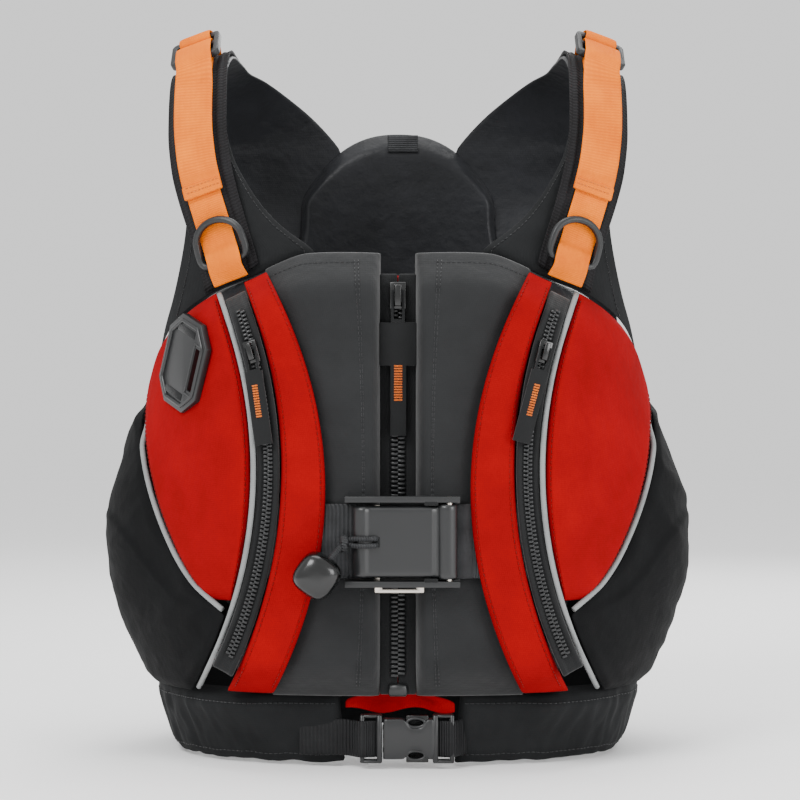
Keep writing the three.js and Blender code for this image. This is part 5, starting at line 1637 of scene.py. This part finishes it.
@dataclass
class Waist:
    """The gathered waistband and its side-release buckle."""

    shop: Workshop
    inner: float = 2.0
    outer: float = 10.0
    height: float = 12.5
    out: float = 18.0
    rear: float = math.radians(118)

    def angle(self, x: float) -> float:
        """Angle of the band at x."""
        return math.copysign(math.asin((abs(x) / (through(TORSO.half_widths, 20) + 6)) ** 1.25), x)

    def front_y(self, out: float) -> float:
        """y in front of the belly at a distance out."""
        return BODY_Y - through(TORSO.front_depths, self.height) - out

    def build(self) -> None:
        """Makes the bands, their webbing and the buckle."""
        self.band("hem_right", self.angle(-38), -self.rear, "waistband_right")
        self.band("hem_left", self.angle(40.5), self.rear, "waistband_left")
        self.band("hem_back", self.rear, math.tau - self.rear, "waistband_back")
        self.webbing("belt_end_left", [(46.5, -11.5), (44.6, -10.5), (41.8, -6), (39.1, 0.4), (36.6, 3.4),
                                        (33.5, 2.8), (31, 2.2), (28.2, 1.2), (25.8, 0.2)], None)
        rows = [(x, TORSO.ring(self.angle(x), self.height, self.outer + 1.6))
                for x in (-67, -61, -55, -49, -43, -37.5)]
        edge = [(x, at.y) for x, at in rows]
        edge += [(x, self.front_y(self.out - back)) for x, back in ((-31.5, 3), (-27.5, -2.2),
                                                                    (-24.2, -5.2), (-20.5, -3),
                                                                       (-17.5, -2.4), (-15.2, -1.4),
                                                                       (-12.8, -0.4))]
        self.webbing("belt_end_right", None, edge)
        self.housing()
        self.frames()

    def housing(self) -> None:
        """The buckle's shell with a scoop above and below, and the arms' oval pads in them, with painted shade in
        the pads' hollows.
        """

        def place(u: float, v: float, t: float) -> Vector:
            """The point of the sheet at (u, v, t)."""
            x = mix(-10.0, 25.0, u)
            scoop = 6.2 * math.exp(-(((x - 12) / 6.2) ** 4))
            half = 13.9 - scoop
            across = 2 * v - 1
            dome = 5.3 - 1.1 * across**4 - 0.9 * ease((abs(u - 0.5) - 0.44) / 0.06)
            return Vector((x, self.front_y(self.out + (dome if t else -4.6)), self.height + across * half))

        bm = self.shop.shell(place, 44, 24, 35, 28)
        rounded(self.shop.piece("buckle_shell", bm, "grey_acetal", "gloss_plastic", Body.VEST,
                                ["waist_buckle_female"]))
        for end, word in ((1, "upper"), (-1, "lower")):
            node = f"buckle_arm_{word}"
            self.shop.refined(f"{word}_arm", node, "gloss_acetal", "gloss_plastic", node, 0.5)
            oval = [Vector((12 + 6.0 * math.cos(math.tau * k / 32), self.front_y(self.out + 3.6),
                            self.height + end * 11.0 + 3.0 * math.sin(math.tau * k / 32))) for k in range(33)]
            self.shop.piece(f"{word}_arm_pad", self.shop.tube(oval, 0.95, 10),
                            "grey_acetal", "gloss_plastic", node)
            # Painted shade: a dark block in each pad's middle stands for the shade inside the arm's hollow.
            middle = Matrix.Translation(metres(Vector((12, self.front_y(self.out + 2.2),
                                                       self.height + end * 11.0))))
            self.shop.piece(f"{word}_arm_hollow", self.shop.blocks([(middle, Vector((11, 1.4, 5)))], 0.6),
                            "black_zip_tape", "gloss_plastic", Body.VEST)

    def frames(self) -> None:
        """The ladder frames at the buckle's two ends, round the webbing."""
        for name, inner, outer, body, nodes in (("ladder_left", 25.2, 36.4, Body.VEST, []),
                                                ("ladder_right", -12.4, -24.0,
                                                 Body.BUCKLE, ["waist_buckle_male"])):
            bars = [(inner, 3.6, 0.0, 32.4, 9.4), (outer, 3.0, 0.0, 32.4, 8.0)]
            bars += [((inner + outer) / 2, abs(outer - inner) + 2, end * 15.2, 2.2, 7.4) for end in (-1, 1)]
            frames = []
            for x, wide, z, tall, deep in bars:
                frame = Matrix.Translation(metres(Vector((x, self.front_y(self.out), self.height + z))))
                frames.append((frame, Vector((wide, deep, tall))))
            bm = self.shop.blocks(frames, 0.7)
            self.shop.piece(name, bm, "grey_acetal", "gloss_plastic", body, nodes)

    def band(self, name: str, first: float, last: float, node: str) -> None:
        """One length of gathered band."""
        arc = abs(last - first) * 160

        def place(u: float, v: float, t: float) -> Vector:
            """The point of the sheet at (u, v, t)."""
            angle = mix(first, last, u)
            z = mix(-HEM_DROP, TORSO.base - 0.4 + 5 * (1 - t), v)
            full = seam(u, v, 0.012, 0.2)
            base = TORSO.ring(angle, z, self.outer)
            above = max(0.0, TORSO.pad(base.x, TORSO.base, math.cos(angle) < 0) - 4.5)
            clear = ease((min(abs(angle), abs(math.tau - abs(angle))) - 0.38) / 0.12)
            outer = self.outer + above * ease((v - 0.25) / 0.75) * (0.12 + 0.88 * clear)
            at = TORSO.ring(angle, z, mix(self.inner, outer, t * (0.62 + 0.38 * full)))
            folds = Vector((math.degrees(angle) * 2.6, 0, z + 0.3 * math.degrees(angle)))
            gather = crease(folds, 17, 2.6, (1.0, 1.0, 0.45)) + crease(folds, 7, 0.9, (1.0, 1.0, 0.3))
            sag = 1.8 * noise.noise(Vector((math.degrees(angle) * 0.16, 3.1, 0))) * (1 - v) ** 2
            out = from_axis(at) * (gather * full * t * (0.4 + 0.6 * clear))
            return at + out + Vector((0, 0, max(sag, -0.4)))

        bm = self.shop.shell(place, max(40, round(arc / 3)), 16, arc, 46)
        obj = self.shop.piece(name, bm, "black_twill", "black_fabric", Body.VEST, [node])
        rounded(obj)
        steps = round(arc / 6)
        lines = [[place(mix(0.01, 0.99, k / steps), v, 1.0) for k in range(steps + 1)] for v in (0.12, 0.88)]
        self.shop.stitches(f"{name}_stitches", lines, from_axis, "black_thread", "black_fabric")

    def webbing(self, name: str, rows: list[tuple[float, float]] | None,
                exact: list[tuple[float, float]] | None) -> None:
        """The 25 mm webbing that enters the buckle.

        Args:
            name: The piece's name.
            rows: x and distance behind the buckle's middle, or None.
            exact: x and y, or None.
        """
        points = exact or [(x, self.front_y(self.out + back)) for x, back in rows or []]
        pairs = [[Vector((x, y, self.height + z)) for z in (-12.4, 12.4)] for x, y in points]
        bm = self.shop.ribbon(pairs, 1.9, 30, 8)
        body = Body.VEST if rows else Body.BUCKLE
        rounded(self.shop.piece(name, bm, "black_belt", "black_fabric", body))


# ---- The studio ----


@dataclass
class Studio:
    """The camera, the soft lights and the pale floor."""

    eye: tuple[float, float, float] = (0.0014, -1.808, 0.246)
    lens: float = 113.4
    lights: tuple = (("key", (-0.9, -1.4, 1.5), 0.9, 34), ("fill", (1.4, -1.2, 0.7), 0.8, 18),
                     ("top", (0.1, 0.2, 1.8), 1.2, 18), ("rim", (0.6, 1.6, 1.2), 1.0, 14))
    sky: float = 1.1

    def camera(self) -> None:
        """Makes the camera that looks along +Y."""
        data = bpy.data.cameras.new("view")
        data.lens, data.sensor_width = self.lens, 36.0
        obj = bpy.data.objects.new("view", data)
        obj.location, obj.rotation_euler = self.eye, (math.pi / 2, 0.0, 0.0)
        bpy.context.scene.collection.objects.link(obj)
        bpy.context.scene.camera = obj

    def lamp(self, name: str, at: tuple[float, float, float], size: float, watts: float) -> None:
        """One square soft light that faces the vest's middle.

        Args:
            name: The light's name.
            at: Where it hangs, in metres.
            size: Its side in metres.
            watts: Its power.
        """
        data = bpy.data.lights.new(name, "AREA")
        data.size, data.energy = size, watts
        obj = bpy.data.objects.new(name, data)
        obj.location = at
        obj.rotation_euler = (Vector((0, 0, 0.25)) - Vector(at)).to_track_quat("-Z", "Y").to_euler()
        bpy.context.scene.collection.objects.link(obj)

    def build(self) -> None:
        """Makes the floor, the lights and the surroundings."""
        bm = bmesh.new()
        bmesh.ops.create_grid(bm, x_segments=1, y_segments=1, size=6.0)
        mesh = bpy.data.meshes.new("floor")
        bm.to_mesh(mesh)
        bm.free()
        floor = bpy.data.objects.new("floor", mesh)
        floor.location.z = -0.002
        bpy.context.scene.collection.objects.link(floor)
        material, _, _ = start("studio_floor", {"Base Color": linear("#FFFFFF"), "Roughness": 0.9})
        mesh.materials.append(material)
        for name, at, size, watts in self.lights:
            self.lamp(name, at, size, watts)
        world = bpy.data.worlds.new("studio")
        bpy.context.scene.world = world
        world.use_nodes = True
        world.node_tree.nodes["Background"].inputs["Color"].default_value = linear("#FFFFFF")
        world.node_tree.nodes["Background"].inputs["Strength"].default_value = self.sky


def main() -> None:
    """Builds the vest from its sub-assemblies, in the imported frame."""
    logging.basicConfig(level=logging.INFO, format="%(message)s")
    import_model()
    studio = Studio()
    studio.camera()
    shop = Workshop(Wardrobe())
    for part in (Harness(shop), FrontPanels(shop), Pockets(shop), MainZip(shop),
                 SidesAndBack(shop), Shoulders(shop),
                 LashTab(shop), Waist(shop)):
        LOG.info("building %s", type(part).__name__)
        part.build()
    studio.build()


if __name__ == "__main__":
    main()
